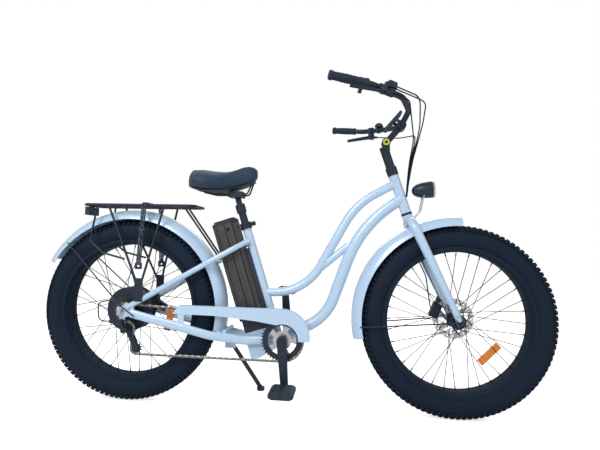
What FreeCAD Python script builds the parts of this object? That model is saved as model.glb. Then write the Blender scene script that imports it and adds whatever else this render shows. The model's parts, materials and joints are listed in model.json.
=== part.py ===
import FreeCAD, Part
import math
import os
import Sketcher
from FreeCAD import Placement, Rotation, Vector

# Electric fat-tyre beach cruiser bicycle, in millimetres.
# +X points forward, +Y to the rider's left, +Z up.
# The origin lies on the floor under the middle of the wheelbase.

os.makedirs("parts", exist_ok=True)
doc = FreeCAD.newDocument("beach_cruiser")

# Driving sizes. Lengths are in millimetres, angles in degrees. A size that follows others is a formula.
SIZES = {
    "tyre_radius": 370,
    "wheel_gap": 574,
    "wheelbase": "=2 * tyre_radius + wheel_gap",
    "tyre_section": 98,
    "tyre_wall": 4,
    "tread_depth": 5,
    "bead_depth": 87,
    "bead_radius": "=tyre_radius - bead_depth",
    "seat_gap": 0.3,
    "rim_width": 86,
    "rim_lip": 2.4,
    "rim_flange": 5.3,
    "rim_depth": 17,
    "spoke_diameter": 2.6,
    "spoke_count": 36,
    "front_hub_spacing": 135,
    "front_flange_radius": 30,
    "front_axle_diameter": 10,
    "front_axle_bore": 5.2,
    "rear_hub_spacing": 175,
    "motor_radius": 84,
    "rear_axle_diameter": 12,
    "dropout_thickness": 8,
    "rotor_radius": 80,
    "rotor_thickness": 2,
    "running_clearance": 0.05,
    "head_angle": 70.8,
    "fork_rake": 47,
    "fork_crown_gap": 78,
    "fork_length": "=tyre_radius + fork_crown_gap",
    "fork_spread": 74,
    "fork_blade_radius": 17.5,
    "fork_tip_radius": 12,
    "headset_height": 9,
    "head_tube_length": 157,
    "head_tube_diameter": 40,
    "steerer_diameter": 28.4,
    "top_tube_diameter": 35,
    "down_tube_diameter": 46,
    "brace_diameter": 29,
    "seat_tube_angle": 71.6,
    "seat_tube_length": 478,
    "seat_tube_diameter": 35,
    "seat_tube_setback": 25,
    "seat_post_diameter": 30.9,
    "seat_post_rise": 75,
    "suspension_shaft_diameter": 24,
    "seatstay_diameter": 22,
    "chainstay_height": 34,
    "chainstay_width": 20,
    "bracket_offset": -11,
    "bracket_drop": 89,
    "bracket_height": "=tyre_radius - bracket_drop",
    "bracket_shell_diameter": 42,
    "bracket_shell_width": 100,
    "bracket_bore": 34,
    "spindle_diameter": 18,
    "chain_line": 72,
    "chain_pitch": 12.7,
    "roller_diameter": 7.7,
    "sprocket_thickness": 2,
    "ring_teeth": 40,
    "jockey_teeth": 11,
    "cog_spacing": 5,
    "crank_length": 170,
    "crank_angle": 5,
    "crank_thickness": 14,
    "crank_inset": 86,
    "pedal_length": 92,
    "pedal_width": 98,
    "pedal_height": 27,
    "pedal_spindle_diameter": 14,
    "battery_width": 72,
    "battery_depth": 104,
    "battery_height": 392,
    "fender_width": 108,
    "fender_sheet": 1.8,
    "front_fender_gap": 35,
    "front_fender_radius": "=tyre_radius + front_fender_gap",
    "rear_fender_gap": 40,
    "rear_fender_radius": "=tyre_radius + rear_fender_gap",
    "rack_gap": 57,
    "rack_height": "=2 * tyre_radius + rack_gap",
    "rack_width": 140,
    "rack_tube": 10,
    "bar_diameter": 22.2,
    "grip_diameter": 32,
    "stand_tube": 18,
}

sheet = doc.addObject("Spreadsheet::Sheet", "Sizes")
for row, (name, number) in enumerate(SIZES.items(), start=1):
    sheet.set(f"A{row}", name)
    sheet.set(f"B{row}", str(number))
    sheet.setAlias(f"B{row}", name)
doc.recompute()


class Size:
    """A length that keeps its number together with the sheet expression that gives it."""

    def __init__(self, number, text):
        self.number = number
        self.text = text

    def __float__(self):
        return float(self.number)

    def __add__(self, other):
        return Size(float(self) + float(other), f"({self.text} + {text_of(other)})")

    def __radd__(self, other):
        return self + other

    def __sub__(self, other):
        return Size(float(self) - float(other), f"({self.text} - {text_of(other)})")

    def __rsub__(self, other):
        return Size(float(other) - float(self), f"({text_of(other)} - {self.text})")

    def __mul__(self, other):
        return Size(float(self) * float(other), f"({self.text} * {text_of(other)})")

    def __rmul__(self, other):
        return self * other

    def __truediv__(self, other):
        return Size(float(self) / float(other), f"({self.text} / {text_of(other)})")

    def __neg__(self):
        return Size(-float(self), f"(-{self.text})")


def text_of(value):
    return value.text if isinstance(value, Size) else repr(float(value))


class Sheet:
    """Gives each sheet value as a Size under its own name."""

    def __getattr__(self, name):
        return Size(float(sheet.get(name)), f"Sizes.{name}")


class Numbers:
    """Gives each sheet value as a plain number under its own name."""

    def __getattr__(self, name):
        return float(sheet.get(name))


S = Sheet()
N = Numbers()
X = Vector(1, 0, 0)
Y = Vector(0, 1, 0)
Z = Vector(0, 0, 1)


# Small helpers for places, solids and booleans

def bind(obj, **values):
    for prop, value in values.items():
        if isinstance(value, Size):
            obj.setExpression(prop, value.text)
        else:
            setattr(obj, prop, value)
    return obj


def facing(origin, axis, across=Vector(0, 0, 0)):
    """Placement whose local Z follows axis and whose local X leans towards across."""
    return Placement(origin, Rotation(across, Vector(0, 0, 0), axis, "ZXY"))


def wheel_place(centre, angle=0.0):
    """Placement for shapes drawn flat: local X and Y become world X and Z, turned by angle."""
    turn = math.radians(angle)
    return facing(centre, -Y, Vector(math.cos(turn), 0, math.sin(turn)))


def side(point, y):
    return Vector(point.x, y, point.z)


def around(centre, radius, angle):
    turn = math.radians(angle)
    return centre + Vector(radius * math.cos(turn), 0, radius * math.sin(turn))


def unit(vector):
    return vector * (1.0 / vector.Length)


def cylinder(name, radius, height, origin, axis):
    solid = doc.addObject("Part::Cylinder", name)
    bind(solid, Radius=radius, Height=height)
    solid.Placement = facing(origin, axis)
    return solid


def rod(name, radius, start, end):
    solid = cylinder(name, radius, (end - start).Length, start, end - start)
    return solid


def cone(name, low_radius, high_radius, start, end):
    solid = doc.addObject("Part::Cone", name)
    bind(solid, Radius1=low_radius, Radius2=high_radius, Height=(end - start).Length)
    solid.Placement = facing(start, end - start)
    return solid


def box(name, length, width, height, centre, axis=Z, across=X):
    solid = doc.addObject("Part::Box", name)
    bind(solid, Length=length, Width=width, Height=height)
    place = facing(centre, axis, across)
    shift = Vector(-float(length) / 2, -float(width) / 2, -float(height) / 2)
    solid.Placement = place.multiply(Placement(shift, Rotation()))
    return solid


def cut(name, base, *tools):
    result = base
    for index, tool in enumerate(tools):
        step = doc.addObject("Part::Cut", name if index == len(tools) - 1 else f"{name}_step")
        step.Base = result
        step.Tool = tool
        result = step
    return result


def fuse(name, *pieces):
    result = doc.addObject("Part::MultiFuse", name)
    result.Shapes = list(pieces)
    return result


def weld(name, base, addition):
    """Joins one piece to another."""
    result = doc.addObject("Part::Fuse", name)
    result.Base = base
    result.Tool = addition
    return result


def common(name, base, limit):
    """Keeps what lies inside both pieces."""
    result = doc.addObject("Part::Common", name)
    result.Base = base
    result.Tool = limit
    return result


def group(name, *pieces):
    result = doc.addObject("Part::Compound", name)
    result.Links = list(pieces)
    return result


def mirrored(name, source):
    result = doc.addObject("Part::Mirroring", name)
    result.Source = source
    result.Normal = Y
    return result


def feature(name, shape, place=Placement()):
    """A piece whose shape follows a formula; its sizes are read from the sheet."""
    result = doc.addObject("Part::Feature", name)
    result.Shape = shape
    result.Placement = place
    return result


def bent_wire(points, bends):
    """A wire through the points whose inner corners are rounded with the given bend radii."""
    edges = []
    start = points[0]
    for corner, following, bend in zip(points[1:-1], points[2:], bends):
        incoming = unit(corner - start)
        outgoing = unit(following - corner)
        half_turn = incoming.getAngle(outgoing) / 2
        if half_turn < 1e-3:
            continue
        reach = bend * math.tan(half_turn)
        first = corner - incoming * reach
        last = corner + outgoing * reach
        inward = unit(outgoing - incoming)
        middle = corner + inward * (bend / math.cos(half_turn) - bend)
        if (first - start).Length > 1e-4:
            edges.append(Part.LineSegment(start, first).toShape())
        edges.append(Part.Arc(first, middle, last).toShape())
        start = last
    edges.append(Part.LineSegment(start, points[-1]).toShape())
    return Part.Wire(edges)


def sweep(name, section, points, bends):
    """Sweeps a section object along a rounded path; the section is moved to the path's start."""
    section.Placement = facing(points[0], points[1] - points[0], Z)
    path = feature(f"{name}_path", bent_wire(points, bends))
    result = doc.addObject("Part::Sweep", name)
    result.Sections = [section]
    result.Spine = (path, [])
    result.Solid = True
    result.Frenet = False
    return result


def tube(name, radius, points, bends=()):
    section = bind(doc.addObject("Part::Circle", f"{name}_section"), Radius=radius)
    return sweep(name, section, points, bends)


def sketch_on(body, name, plane):
    sketch = body.newObject("Sketcher::SketchObject", name)
    origin_plane = [item for item in body.Origin.OriginFeatures if item.Role == plane][0]
    sketch.AttachmentSupport = [(origin_plane, "")]
    sketch.MapMode = "FlatFace"
    return sketch


def pin_corner(sketch, index, across, up):
    """Ties the start of one outline edge to its two sheet sizes."""
    for kind, axis, value in (("DistanceX", -2, across), ("DistanceY", -1, up)):
        number = float(value)
        if abs(number) < 1e-9:
            sketch.addConstraint(Sketcher.Constraint("PointOnObject", index, 1, axis))
            continue
        ends = (-1, 1, index, 1) if number > 0 else (index, 1, -1, 1)
        place = sketch.addConstraint(Sketcher.Constraint(kind, *ends, abs(number)))
        if isinstance(value, Size):
            text = value.text if number > 0 else (-value).text
            sketch.setExpression(f"Constraints[{place}]", text)


def outline(sketch, corners):
    """Draws a closed outline with its corners tied to sizes."""
    points = [Vector(float(a), float(b), 0) for a, b in corners]
    count = len(points)
    for index in range(count):
        sketch.addGeometry(Part.LineSegment(points[index], points[(index + 1) % count]))
    for index in range(count):
        sketch.addConstraint(Sketcher.Constraint("Coincident", index, 2, (index + 1) % count, 1))
    for index, (across, up) in enumerate(corners):
        pin_corner(sketch, index, across, up)


def turned(name, corners, origin, axis):
    """A body turned about its own Z axis; corners are (radius, height) pairs."""
    body = doc.addObject("PartDesign::Body", name)
    sketch = sketch_on(body, f"{name}_outline", "XZ_Plane")
    outline(sketch, corners)
    turn = body.newObject("PartDesign::Revolution", f"{name}_turn")
    turn.Profile = sketch
    turn.ReferenceAxis = (sketch, ["V_Axis"])
    turn.Angle = 360
    body.Placement = facing(origin, axis)
    return body


def padded(name, corners, thickness, place):
    """A flat plate with a straight-edged outline, padded to both sides of its plane."""
    body = doc.addObject("PartDesign::Body", name)
    sketch = sketch_on(body, f"{name}_outline", "XY_Plane")
    outline(sketch, corners)
    pad = body.newObject("PartDesign::Pad", f"{name}_pad")
    pad.Profile = sketch
    bind(pad, Length=thickness)
    pad.Midplane = True
    body.Placement = place
    return body


def tapered_link(first, first_radius, second, second_radius, thickness):
    """A flat arm with two round ends joined by their common tangents, in its own X-Y plane."""
    reach = second - first
    lean = math.acos((first_radius - second_radius) / reach.Length)
    heading = math.atan2(reach.y, reach.x)

    def rim(centre, radius, angle):
        return centre + Vector(radius * math.cos(angle), radius * math.sin(angle), 0)

    up, down = heading + lean, heading - lean
    edges = [
        Part.LineSegment(rim(first, first_radius, up), rim(second, second_radius, up)).toShape(),
        Part.Arc(rim(second, second_radius, up), rim(second, second_radius, heading),
                 rim(second, second_radius, down)).toShape(),
        Part.LineSegment(rim(second, second_radius, down), rim(first, first_radius, down)).toShape(),
        Part.Arc(rim(first, first_radius, down), rim(first, first_radius, heading + math.pi),
                 rim(first, first_radius, up)).toShape(),
    ]
    face = Part.Face(Part.Wire(edges))
    face.translate(Vector(0, 0, -thickness / 2))
    return face.extrude(Vector(0, 0, thickness))


def sector(inner, outer, middle, span, thickness):
    """A flat ring sector about the origin, centred on one angle, in its own X-Y plane."""
    low, high = math.radians(middle - span / 2), math.radians(middle + span / 2)
    half = math.radians(middle)

    def at(radius, angle):
        return Vector(radius * math.cos(angle), radius * math.sin(angle), -thickness / 2)

    edges = [
        Part.Arc(at(inner, low), at(inner, half), at(inner, high)).toShape(),
        Part.LineSegment(at(inner, high), at(outer, high)).toShape(),
        Part.Arc(at(outer, high), at(outer, half), at(outer, low)).toShape(),
        Part.LineSegment(at(outer, low), at(inner, low)).toShape(),
    ]
    return Part.Face(Part.Wire(edges)).extrude(Vector(0, 0, thickness))


sub_parts = {}


def keep(name, piece):
    """Files a finished sub-part under its plain name."""
    piece.Label = name
    sub_parts[name] = piece
    return piece


# Fixed points of the bicycle

rear_axle = Vector(-N.wheelbase / 2, 0, N.tyre_radius)
front_axle = Vector(N.wheelbase / 2, 0, N.tyre_radius)
head_lean = math.radians(N.head_angle)
steer_up = Vector(-math.cos(head_lean), 0, math.sin(head_lean))
steer_forward = Vector(math.sin(head_lean), 0, math.cos(head_lean))
crown_top = front_axle - steer_forward * N.fork_rake + steer_up * N.fork_length
head_low = crown_top + steer_up * N.headset_height
head_high = head_low + steer_up * N.head_tube_length
stem_seat = head_high + steer_up * N.headset_height
bracket = Vector(N.bracket_offset, 0, N.bracket_height)
seat_lean = math.radians(N.seat_tube_angle)
seat_up = Vector(-math.cos(seat_lean), 0, math.sin(seat_lean))
seat_back = Vector(-math.sin(seat_lean), 0, -math.cos(seat_lean))
seat_foot = bracket - X * N.seat_tube_setback


def seat_point(up, back=0.0, y=0.0):
    """A point given along the seat tube, behind it and to the side."""
    return seat_foot + seat_up * up + seat_back * back + Y * y


def head_point(up, forward=0.0, y=0.0):
    """A point given along the head tube from its lower end, ahead of it and to the side."""
    return head_low + steer_up * up + steer_forward * forward + Y * y


# Wheels

section_radius = S.tyre_section / 2
section_centre = S.tyre_radius - S.tread_depth - section_radius
rim_floor = S.bead_radius - S.seat_gap
rim_bed = rim_floor - S.rim_depth
TREAD_ROOT = 20.0
TREAD_SWELL = 2.5
TREAD_BANDS = ((-52, -37), (-32, -12), (-8, 8), (12, 32), (37, 52))


def tyre(name, axle):
    """A hollow carcass, open to the rim, with raised tread bands cut flat at the crown."""
    place = facing(axle, -Y)
    left_edge = axle - Y * (N.tyre_section / 2)

    def ring(label, radius, low=-180.0, high=180.0):
        solid = doc.addObject("Part::Torus", f"{name}_{label}")
        bind(solid, Radius1=section_centre, Radius2=radius, Angle1=low, Angle2=high)
        solid.Placement = place
        return solid

    swollen = section_radius + S.tread_depth + TREAD_SWELL
    bands = [ring("band", swollen, low, high) for low, high in TREAD_BANDS]
    core = cylinder(f"{name}_core", section_centre + TREAD_ROOT, S.tyre_section, left_edge, Y)
    crown = cylinder(f"{name}_crown", S.tyre_radius, S.tyre_section, left_edge, Y)
    round_tread = cut(f"{name}_round_tread", group(f"{name}_bands", *bands), core)
    tread = common(f"{name}_tread", round_tread, crown)
    body = fuse(f"{name}_body", ring("carcass", section_radius), tread)
    hollow = ring("hollow", section_radius - S.tyre_wall)
    opening = cylinder(f"{name}_opening", S.bead_radius, S.tyre_section, left_edge, Y)
    return keep(name, cut(name, body, hollow, opening))


def rim(name, axle):
    half = S.rim_width / 2
    inner = half - S.rim_lip
    top = rim_floor + S.rim_flange
    edge = rim_floor - S.rim_depth / 2
    bed = S.rim_width * 0.28
    corners = [(top, -half), (top, -inner), (rim_floor, -inner), (rim_floor, inner), (top, inner),
               (top, half),
               (edge, half), (rim_bed, bed), (rim_bed, -bed), (edge, -half)]
    return keep(name, turned(name, corners, axle, Y))


SPOKE_LANE = 2.0
RIM_SPOKE_LANE = 7.0
NIPPLE_LENGTH = 14.0
NIPPLE_RADIUS = 2.2
SPOKE_HEAD_GAP = 1.5
SPOKE_TIP_GAP = 1.0


def spokes(name, axle, flange_radius, flange_y, sweep_angle, axle_shift=0.0):
    """Laced spokes with nipples: every second one leans forward, and the sides alternate."""
    count = int(N.spoke_count)
    start_radius = flange_radius + SPOKE_HEAD_GAP
    end_radius = float(rim_bed) - SPOKE_TIP_GAP
    solids = []
    for index in range(count):
        lane = 1 if index % 2 else -1
        lean = 1 if (index // 2) % 2 else -1
        rim_angle = 360.0 * index / count
        offset = SPOKE_LANE * lean
        flange = Vector(0, axle_shift + lane * flange_y + offset, 0)
        start = around(flange, start_radius, rim_angle - lean * sweep_angle)
        end = around(Vector(0, lane * RIM_SPOKE_LANE + offset, 0), end_radius, rim_angle)
        length = (end - start).Length
        wire = Part.makeCylinder(N.spoke_diameter / 2, length - NIPPLE_LENGTH / 2)
        nipple = Part.makeCylinder(NIPPLE_RADIUS, NIPPLE_LENGTH, Vector(0, 0, length - NIPPLE_LENGTH))
        master = wire.fuse(nipple).removeSplitter()
        master.Placement = facing(start, end - start)
        solids.append(master)
    return keep(name, feature(name, Part.makeCompound(solids), Placement(axle, Rotation())))


FRONT_FLANGE_Y = 28.0
FRONT_FLANGE_WIDTH = 9.0
ROTOR_OFFSET_FRONT = 50.0
ROTOR_OFFSET_REAR = 62.0
ROTOR_SEAT_RADIUS = 22.0


def front_hub():
    bore = S.front_axle_diameter / 2 + S.running_clearance
    end = S.front_hub_spacing / 2 - 2
    low, high = FRONT_FLANGE_Y - FRONT_FLANGE_WIDTH / 2, FRONT_FLANGE_Y + FRONT_FLANGE_WIDTH / 2
    flange = S.front_flange_radius
    rotor_face = ROTOR_OFFSET_FRONT - S.rotor_thickness / 2
    corners = [(bore, -end), (11, -end), (14, -high - 10), (18, -high), (flange, -high), (flange, -low),
               (17, -low), (15, 0), (17, low), (flange, low), (flange, high), (ROTOR_SEAT_RADIUS, high),
               (ROTOR_SEAT_RADIUS, rotor_face), (13, rotor_face), (11, end), (bore, end)]
    return keep("front_hub", turned("front_hub", corners, front_axle, Y))


MOTOR_FLANGE_Y = 30.0
MOTOR_FLANGE_WIDTH = 9.0
MOTOR_FLANGE_RISE = 6.0
MOTOR_RIGHT = 37.0
MOTOR_LEFT = 46.0
FREEWHEEL_BORE = 17.0


def hub_motor():
    bore = S.rear_axle_diameter / 2 + S.running_clearance
    drum = S.motor_radius
    flange = drum + MOTOR_FLANGE_RISE
    low, high = MOTOR_FLANGE_Y - MOTOR_FLANGE_WIDTH / 2, MOTOR_FLANGE_Y + MOTOR_FLANGE_WIDTH / 2
    rotor_face = ROTOR_OFFSET_REAR - S.rotor_thickness / 2
    thread_end = S.chain_line + 4
    thread = FREEWHEEL_BORE - S.running_clearance
    corners = [(bore, -thread_end), (thread, -thread_end), (thread, -MOTOR_RIGHT), (60, -MOTOR_RIGHT),
               (drum, -high), (flange, -high), (flange, -low), (drum, -low), (drum, low), (flange, low),
               (flange, high), (drum, high), (62, MOTOR_LEFT), (30, MOTOR_LEFT + 4),
               (ROTOR_SEAT_RADIUS, MOTOR_LEFT + 6), (ROTOR_SEAT_RADIUS, rotor_face), (13, rotor_face),
               (12, 72), (bore, 72)]
    return keep("hub_motor", turned("hub_motor", corners, rear_axle, Y))


def rotor(name, axle, offset):
    """A brake disc with a drilled track and six leaning arms."""
    body = doc.addObject("PartDesign::Body", name)
    disc = sketch_on(body, f"{name}_disc", "XY_Plane")
    for radius in (S.rotor_radius, 14):
        index = disc.addGeometry(Part.Circle(Vector(0, 0, 0), Z, float(radius)))
        disc.addConstraint(Sketcher.Constraint("Coincident", index, 3, -1, 1))
        place = disc.addConstraint(Sketcher.Constraint("Radius", index, float(radius)))
        if isinstance(radius, Size):
            disc.setExpression(f"Constraints[{place}]", radius.text)
    pad = body.newObject("PartDesign::Pad", f"{name}_pad")
    pad.Profile = disc
    bind(pad, Length=S.rotor_thickness)
    pad.Midplane = True
    track = S.rotor_radius - 15
    window = sketch_on(body, f"{name}_window", "XY_Plane")
    outline(window, [(27, 6), (track * 0.9, -12), (track * 0.86, 25), (24, 17)])
    hole = sketch_on(body, f"{name}_holes", "XY_Plane")
    for shift, turn in ((-10.5, 0.0), (-4.5, 7.0)):
        reach = N.rotor_radius + shift
        centre = Vector(reach * math.cos(math.radians(turn)), reach * math.sin(math.radians(turn)), 0)
        hole.addGeometry(Part.Circle(centre, Z, 2.6))
    for sketch, copies in ((window, 6), (hole, 20)):
        pocket = body.newObject("PartDesign::Pocket", f"{sketch.Name}_cut")
        pocket.Profile = sketch
        pocket.Type = "ThroughAll"
        pocket.Midplane = True
        pattern = body.newObject("PartDesign::PolarPattern", f"{sketch.Name}_copies")
        pattern.Originals = [pocket]
        pattern.Axis = (disc, ["N_Axis"])
        pattern.Angle = 360
        pattern.Occurrences = copies
        body.Tip = pattern
    body.Placement = wheel_place(side(axle, offset))
    return keep(name, body)


REFLECTOR_REACH = 170.0
REFLECTOR_Y = -8.0


def reflector(name, axle, angle):
    """A spoke reflector held between two spokes beside the middle of the wheel."""
    centre = side(around(axle, REFLECTOR_REACH, angle), REFLECTOR_Y)
    outward = unit(side(centre - axle, 0))
    return keep(name, box(name, 27, 6, 100, centre, outward.cross(Y), outward))


tyre("rear_tyre", rear_axle)
tyre("front_tyre", front_axle)
rim("rear_rim", rear_axle)
rim("front_rim", front_axle)
spokes("front_spokes", front_axle, N.front_flange_radius, FRONT_FLANGE_Y, 55.0)
spokes("rear_spokes", rear_axle, N.motor_radius + MOTOR_FLANGE_RISE, MOTOR_FLANGE_Y, 26.0)
front_hub()
hub_motor()
rotor("front_rotor", front_axle, ROTOR_OFFSET_FRONT)
rotor("rear_rotor", rear_axle, ROTOR_OFFSET_REAR)


# Frame tubes

def head_tube():
    outer = cylinder("head_tube_outer", S.head_tube_diameter / 2, S.head_tube_length, head_low, steer_up)
    bore = cylinder("head_tube_bore", S.steerer_diameter / 2 + 1.5, S.head_tube_length + 20,
                    head_low - steer_up * 10, steer_up)
    keep("head_tube", cut("head_tube", outer, bore))
    return outer


def seat_tube():
    outer = cylinder("seat_tube_outer", S.seat_tube_diameter / 2, S.seat_tube_length, seat_foot, seat_up)
    bore = cylinder("seat_tube_bore", S.seat_post_diameter / 2 + S.running_clearance, S.seat_tube_length,
                    seat_point(60), seat_up)
    keep("seat_tube", cut("seat_tube", outer, bracket_outer, bore))
    return outer


# Corners of the bent main tubes, measured along and ahead of the head tube or from the bottom bracket
TOP_TUBE_DROP = 32.0
DOWN_TUBE_RISE = 58.0
TOP_TUBE_SEAT_RISE = 184.0
top_start = head_high - steer_up * TOP_TUBE_DROP
top_shoulder = top_start + Vector(-155, 0, -84)
top_low = bracket + Vector(78, 0, 177)
top_end = seat_point(TOP_TUBE_SEAT_RISE)
down_start = head_point(DOWN_TUBE_RISE)
down_shoulder = down_start + Vector(-156, 0, -97)
down_low = bracket + Vector(166, 0, 85)
TOP_BENDS = (300.0, 215.0)
DOWN_BENDS = (470.0, 195.0)
BOSS_SPACING = 64.0
BOSS_THREAD = 2.5


def top_tube():
    """The low step-through tube with two bottle bosses on its steep stretch."""
    route = [top_start, top_shoulder, top_low, top_end]
    bent = tube("top_tube_bent", S.top_tube_diameter / 2, route, TOP_BENDS)
    steep = unit(top_low - top_shoulder)
    outward = Y.cross(steep)
    middle = top_shoulder + steep * 240
    bosses, threads = [], []
    for step in (-0.5, 0.5):
        foot = middle + steep * (BOSS_SPACING * step)
        bosses.append(cylinder("bottle_boss", 6, S.top_tube_diameter / 2 + 2, foot, outward))
        threads.append(cylinder("bottle_thread", BOSS_THREAD, S.top_tube_diameter / 2 + 3, foot, outward))
    tube_with_bosses = fuse("top_tube_bossed", bent, *bosses)
    keep("top_tube", cut("top_tube", tube_with_bosses, head_outer, seat_outer, *threads))
    return bent


def down_tube():
    route = [down_start, down_shoulder, down_low, bracket]
    bent = tube("down_tube_bent", S.down_tube_diameter / 2, route, DOWN_BENDS)
    brace_low = bracket + Vector(130, 0, 271)
    brace_high = bracket + Vector(250, 0, 373)
    brace = rod("frame_brace", S.brace_diameter / 2, brace_low, brace_high)
    joined = fuse("down_tube_braced", bent, brace)
    keep("down_tube", cut("down_tube", joined, head_outer, top_bent, bracket_outer))


HOUSING_WIDTH = 60.0
HOUSING_CORNERS = ((-18, 14), (-62, 40), (-154, 10), (-156, -4), (-130, -88), (-112, -93), (-30, -42),
                   (-18, -20))


def bottom_bracket_shell():
    """The bored shell with the controller housing welded behind it."""
    outer = cylinder("bracket_outer", S.bracket_shell_diameter / 2, S.bracket_shell_width,
                     side(bracket, -N.bracket_shell_width / 2), Y)
    bore = cylinder("bracket_bore", S.bracket_bore / 2, S.bracket_shell_width + 20,
                    side(bracket, -N.bracket_shell_width / 2 - 10), Y)
    housing = padded("controller_housing", HOUSING_CORNERS, HOUSING_WIDTH, wheel_place(bracket))
    seat_room = cylinder("housing_seat_room", S.seat_tube_diameter / 2, S.seat_tube_length, seat_foot,
                         seat_up)
    cleared = cut("controller_box", housing, seat_room)
    joined = fuse("bracket_joined", outer, cleared)
    keep("bottom_bracket_shell", cut("bottom_bracket_shell", joined, bore))
    return outer, joined


DROPOUT_CORNERS = ((-16, -22), (8, -26), (44, -14), (56, 2), (48, 26), (24, 34), (2, 22), (-16, 14))
DROPOUT_Y = N.rear_hub_spacing / 2 + N.dropout_thickness / 2
STAY_Y = DROPOUT_Y + 1


SLOT_NECK = 0.8


def dropout():
    """The right rear dropout: a plate with an open axle slot and the derailleur hanger below."""
    centre = side(rear_axle, -DROPOUT_Y)
    plate = padded("dropout_plate", DROPOUT_CORNERS, S.dropout_thickness, wheel_place(centre))
    hanger = box("dropout_hanger", 20, S.dropout_thickness, 40, centre + Vector(6, 0, -30))
    start = side(rear_axle, -DROPOUT_Y - N.dropout_thickness)
    axle_room = S.rear_axle_diameter / 2 + S.running_clearance
    seat = cylinder("dropout_seat", axle_room, S.dropout_thickness * 2, start, Y)
    slot = box("dropout_slot", axle_room * 2 - SLOT_NECK, S.dropout_thickness * 2, 40,
               side(rear_axle, -DROPOUT_Y) + Vector(-9, 0, -18), Vector(0.45, 0, 0.9))
    return fuse("dropout_joined", plate, hanger), fuse("dropout_opening", seat, slot)


def seatstay_path():
    return [seat_point(402, 2, -26), rear_axle + Vector(444, -54, 262), rear_axle + Vector(357, -72, 211),
            rear_axle + Vector(24, -STAY_Y, 16)]


def chainstay_path():
    return [rear_axle + Vector(40, -STAY_Y, -6), rear_axle + Vector(357, -74, -83),
            bracket + Vector(-154, -50, -13), bracket + Vector(-8, -38, -4)]


def seatstays():
    bent = tube("seatstay_bent", S.seatstay_diameter / 2, seatstay_path(), (130.0, 260.0))
    right = cut("seatstay_right", bent, seat_outer, dropout_right)
    left = mirrored("seatstay_left", right)
    reach = N.rear_fender_radius + BRIDGE_RADIUS
    centre = around(rear_axle, reach, SEAT_BRIDGE_ANGLE)
    bar = rod("seatstay_bridge_bar", BRIDGE_RADIUS, side(centre, -70), side(centre, 70))
    bridge = cut("seatstay_bridge", bar, right, left)
    keep("seatstays", group("seatstays", right, left, bridge))


BRIDGE_RADIUS = 8.0
SEAT_BRIDGE_ANGLE = 30.4
CHAIN_BRIDGE_ANGLE = -9.6
STAND_PLATE = bracket + Vector(-239, 66, -45)


def chainstays():
    section = doc.addObject("Part::Ellipse", "chainstay_section")
    bind(section, MajorRadius=S.chainstay_height / 2, MinorRadius=S.chainstay_width / 2)
    bent = sweep("chainstay_bent", section, chainstay_path(), (260.0, 200.0))
    welded = fuse("chainstay_welded", bent, dropout_right)
    right = cut("chainstay_right", welded, bracket_joined, dropout_opening)
    left_plain = mirrored("chainstay_left_plain", right)
    plate = box("stand_plate", 44, 12, 52, STAND_PLATE)
    left = fuse("chainstay_left", left_plain, plate)
    centre = around(rear_axle, N.rear_fender_radius + BRIDGE_RADIUS, CHAIN_BRIDGE_ANGLE)
    bar = rod("chainstay_bridge_bar", BRIDGE_RADIUS, side(centre, -62), side(centre, 62))
    bridge = cut("chainstay_bridge", bar, right, left)
    keep("chainstays", group("chainstays", right, left, bridge))
    return bent


def bearing_cups():
    """Two headset cups round the steerer and two bearing cups in the bottom bracket."""
    cups = []
    for start in (crown_top, head_high):
        ring = cylinder("headset_ring", S.head_tube_diameter / 2 + 1.5, S.headset_height, start, steer_up)
        hole = cylinder("headset_hole", S.steerer_diameter / 2 + S.running_clearance, S.headset_height * 3,
                        start - steer_up * N.headset_height, steer_up)
        cups.append(cut("headset_cup", ring, hole))
    for way in (-1, 1):
        inner = side(bracket, way * (N.bracket_shell_width / 2 - 20))
        ring = cylinder("bracket_ring", S.bracket_bore / 2, 20, inner, Y * way)
        collar = cylinder("bracket_collar", S.bracket_shell_diameter / 2 - 1, 3, inner + Y * (20 * way),
                          Y * way)
        hole = cylinder("bracket_hole", S.spindle_diameter / 2 + S.running_clearance, 60,
                        inner - Y * (20 * way), Y * way)
        cups.append(cut("bracket_cup", fuse("bracket_cup_joined", ring, collar), hole))
    keep("bearing_cups", group("bearing_cups", *cups))


bracket_outer, bracket_joined = bottom_bracket_shell()
head_outer = head_tube()
seat_outer = seat_tube()
top_bent = top_tube()
down_tube()
dropout_right, dropout_opening = dropout()
seatstays()
chainstay_bent = chainstays()
bearing_cups()


# Battery behind the seat tube

DOCK_THICKNESS = 9.0
DOCK_FOOT = 92.0
battery_front = N.seat_tube_diameter / 2 + DOCK_THICKNESS
battery_low = DOCK_FOOT + 8.0
BATTERY_CORNER = 22.0
BATTERY_GROOVE = 2.5


def battery_section(depth, half, inset):
    """Rounded-off section of the case seen along the seat tube: local X runs backwards."""
    corner = BATTERY_CORNER - inset
    front, back, wide = inset, depth - inset, half - inset
    return [(front, -wide + corner), (front + corner, -wide), (back - corner * 0.6, -wide),
            (back, -wide + corner * 0.6), (back, wide - corner * 0.6), (back - corner * 0.6, wide),
            (front + corner, wide), (front, wide - corner)]


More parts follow.
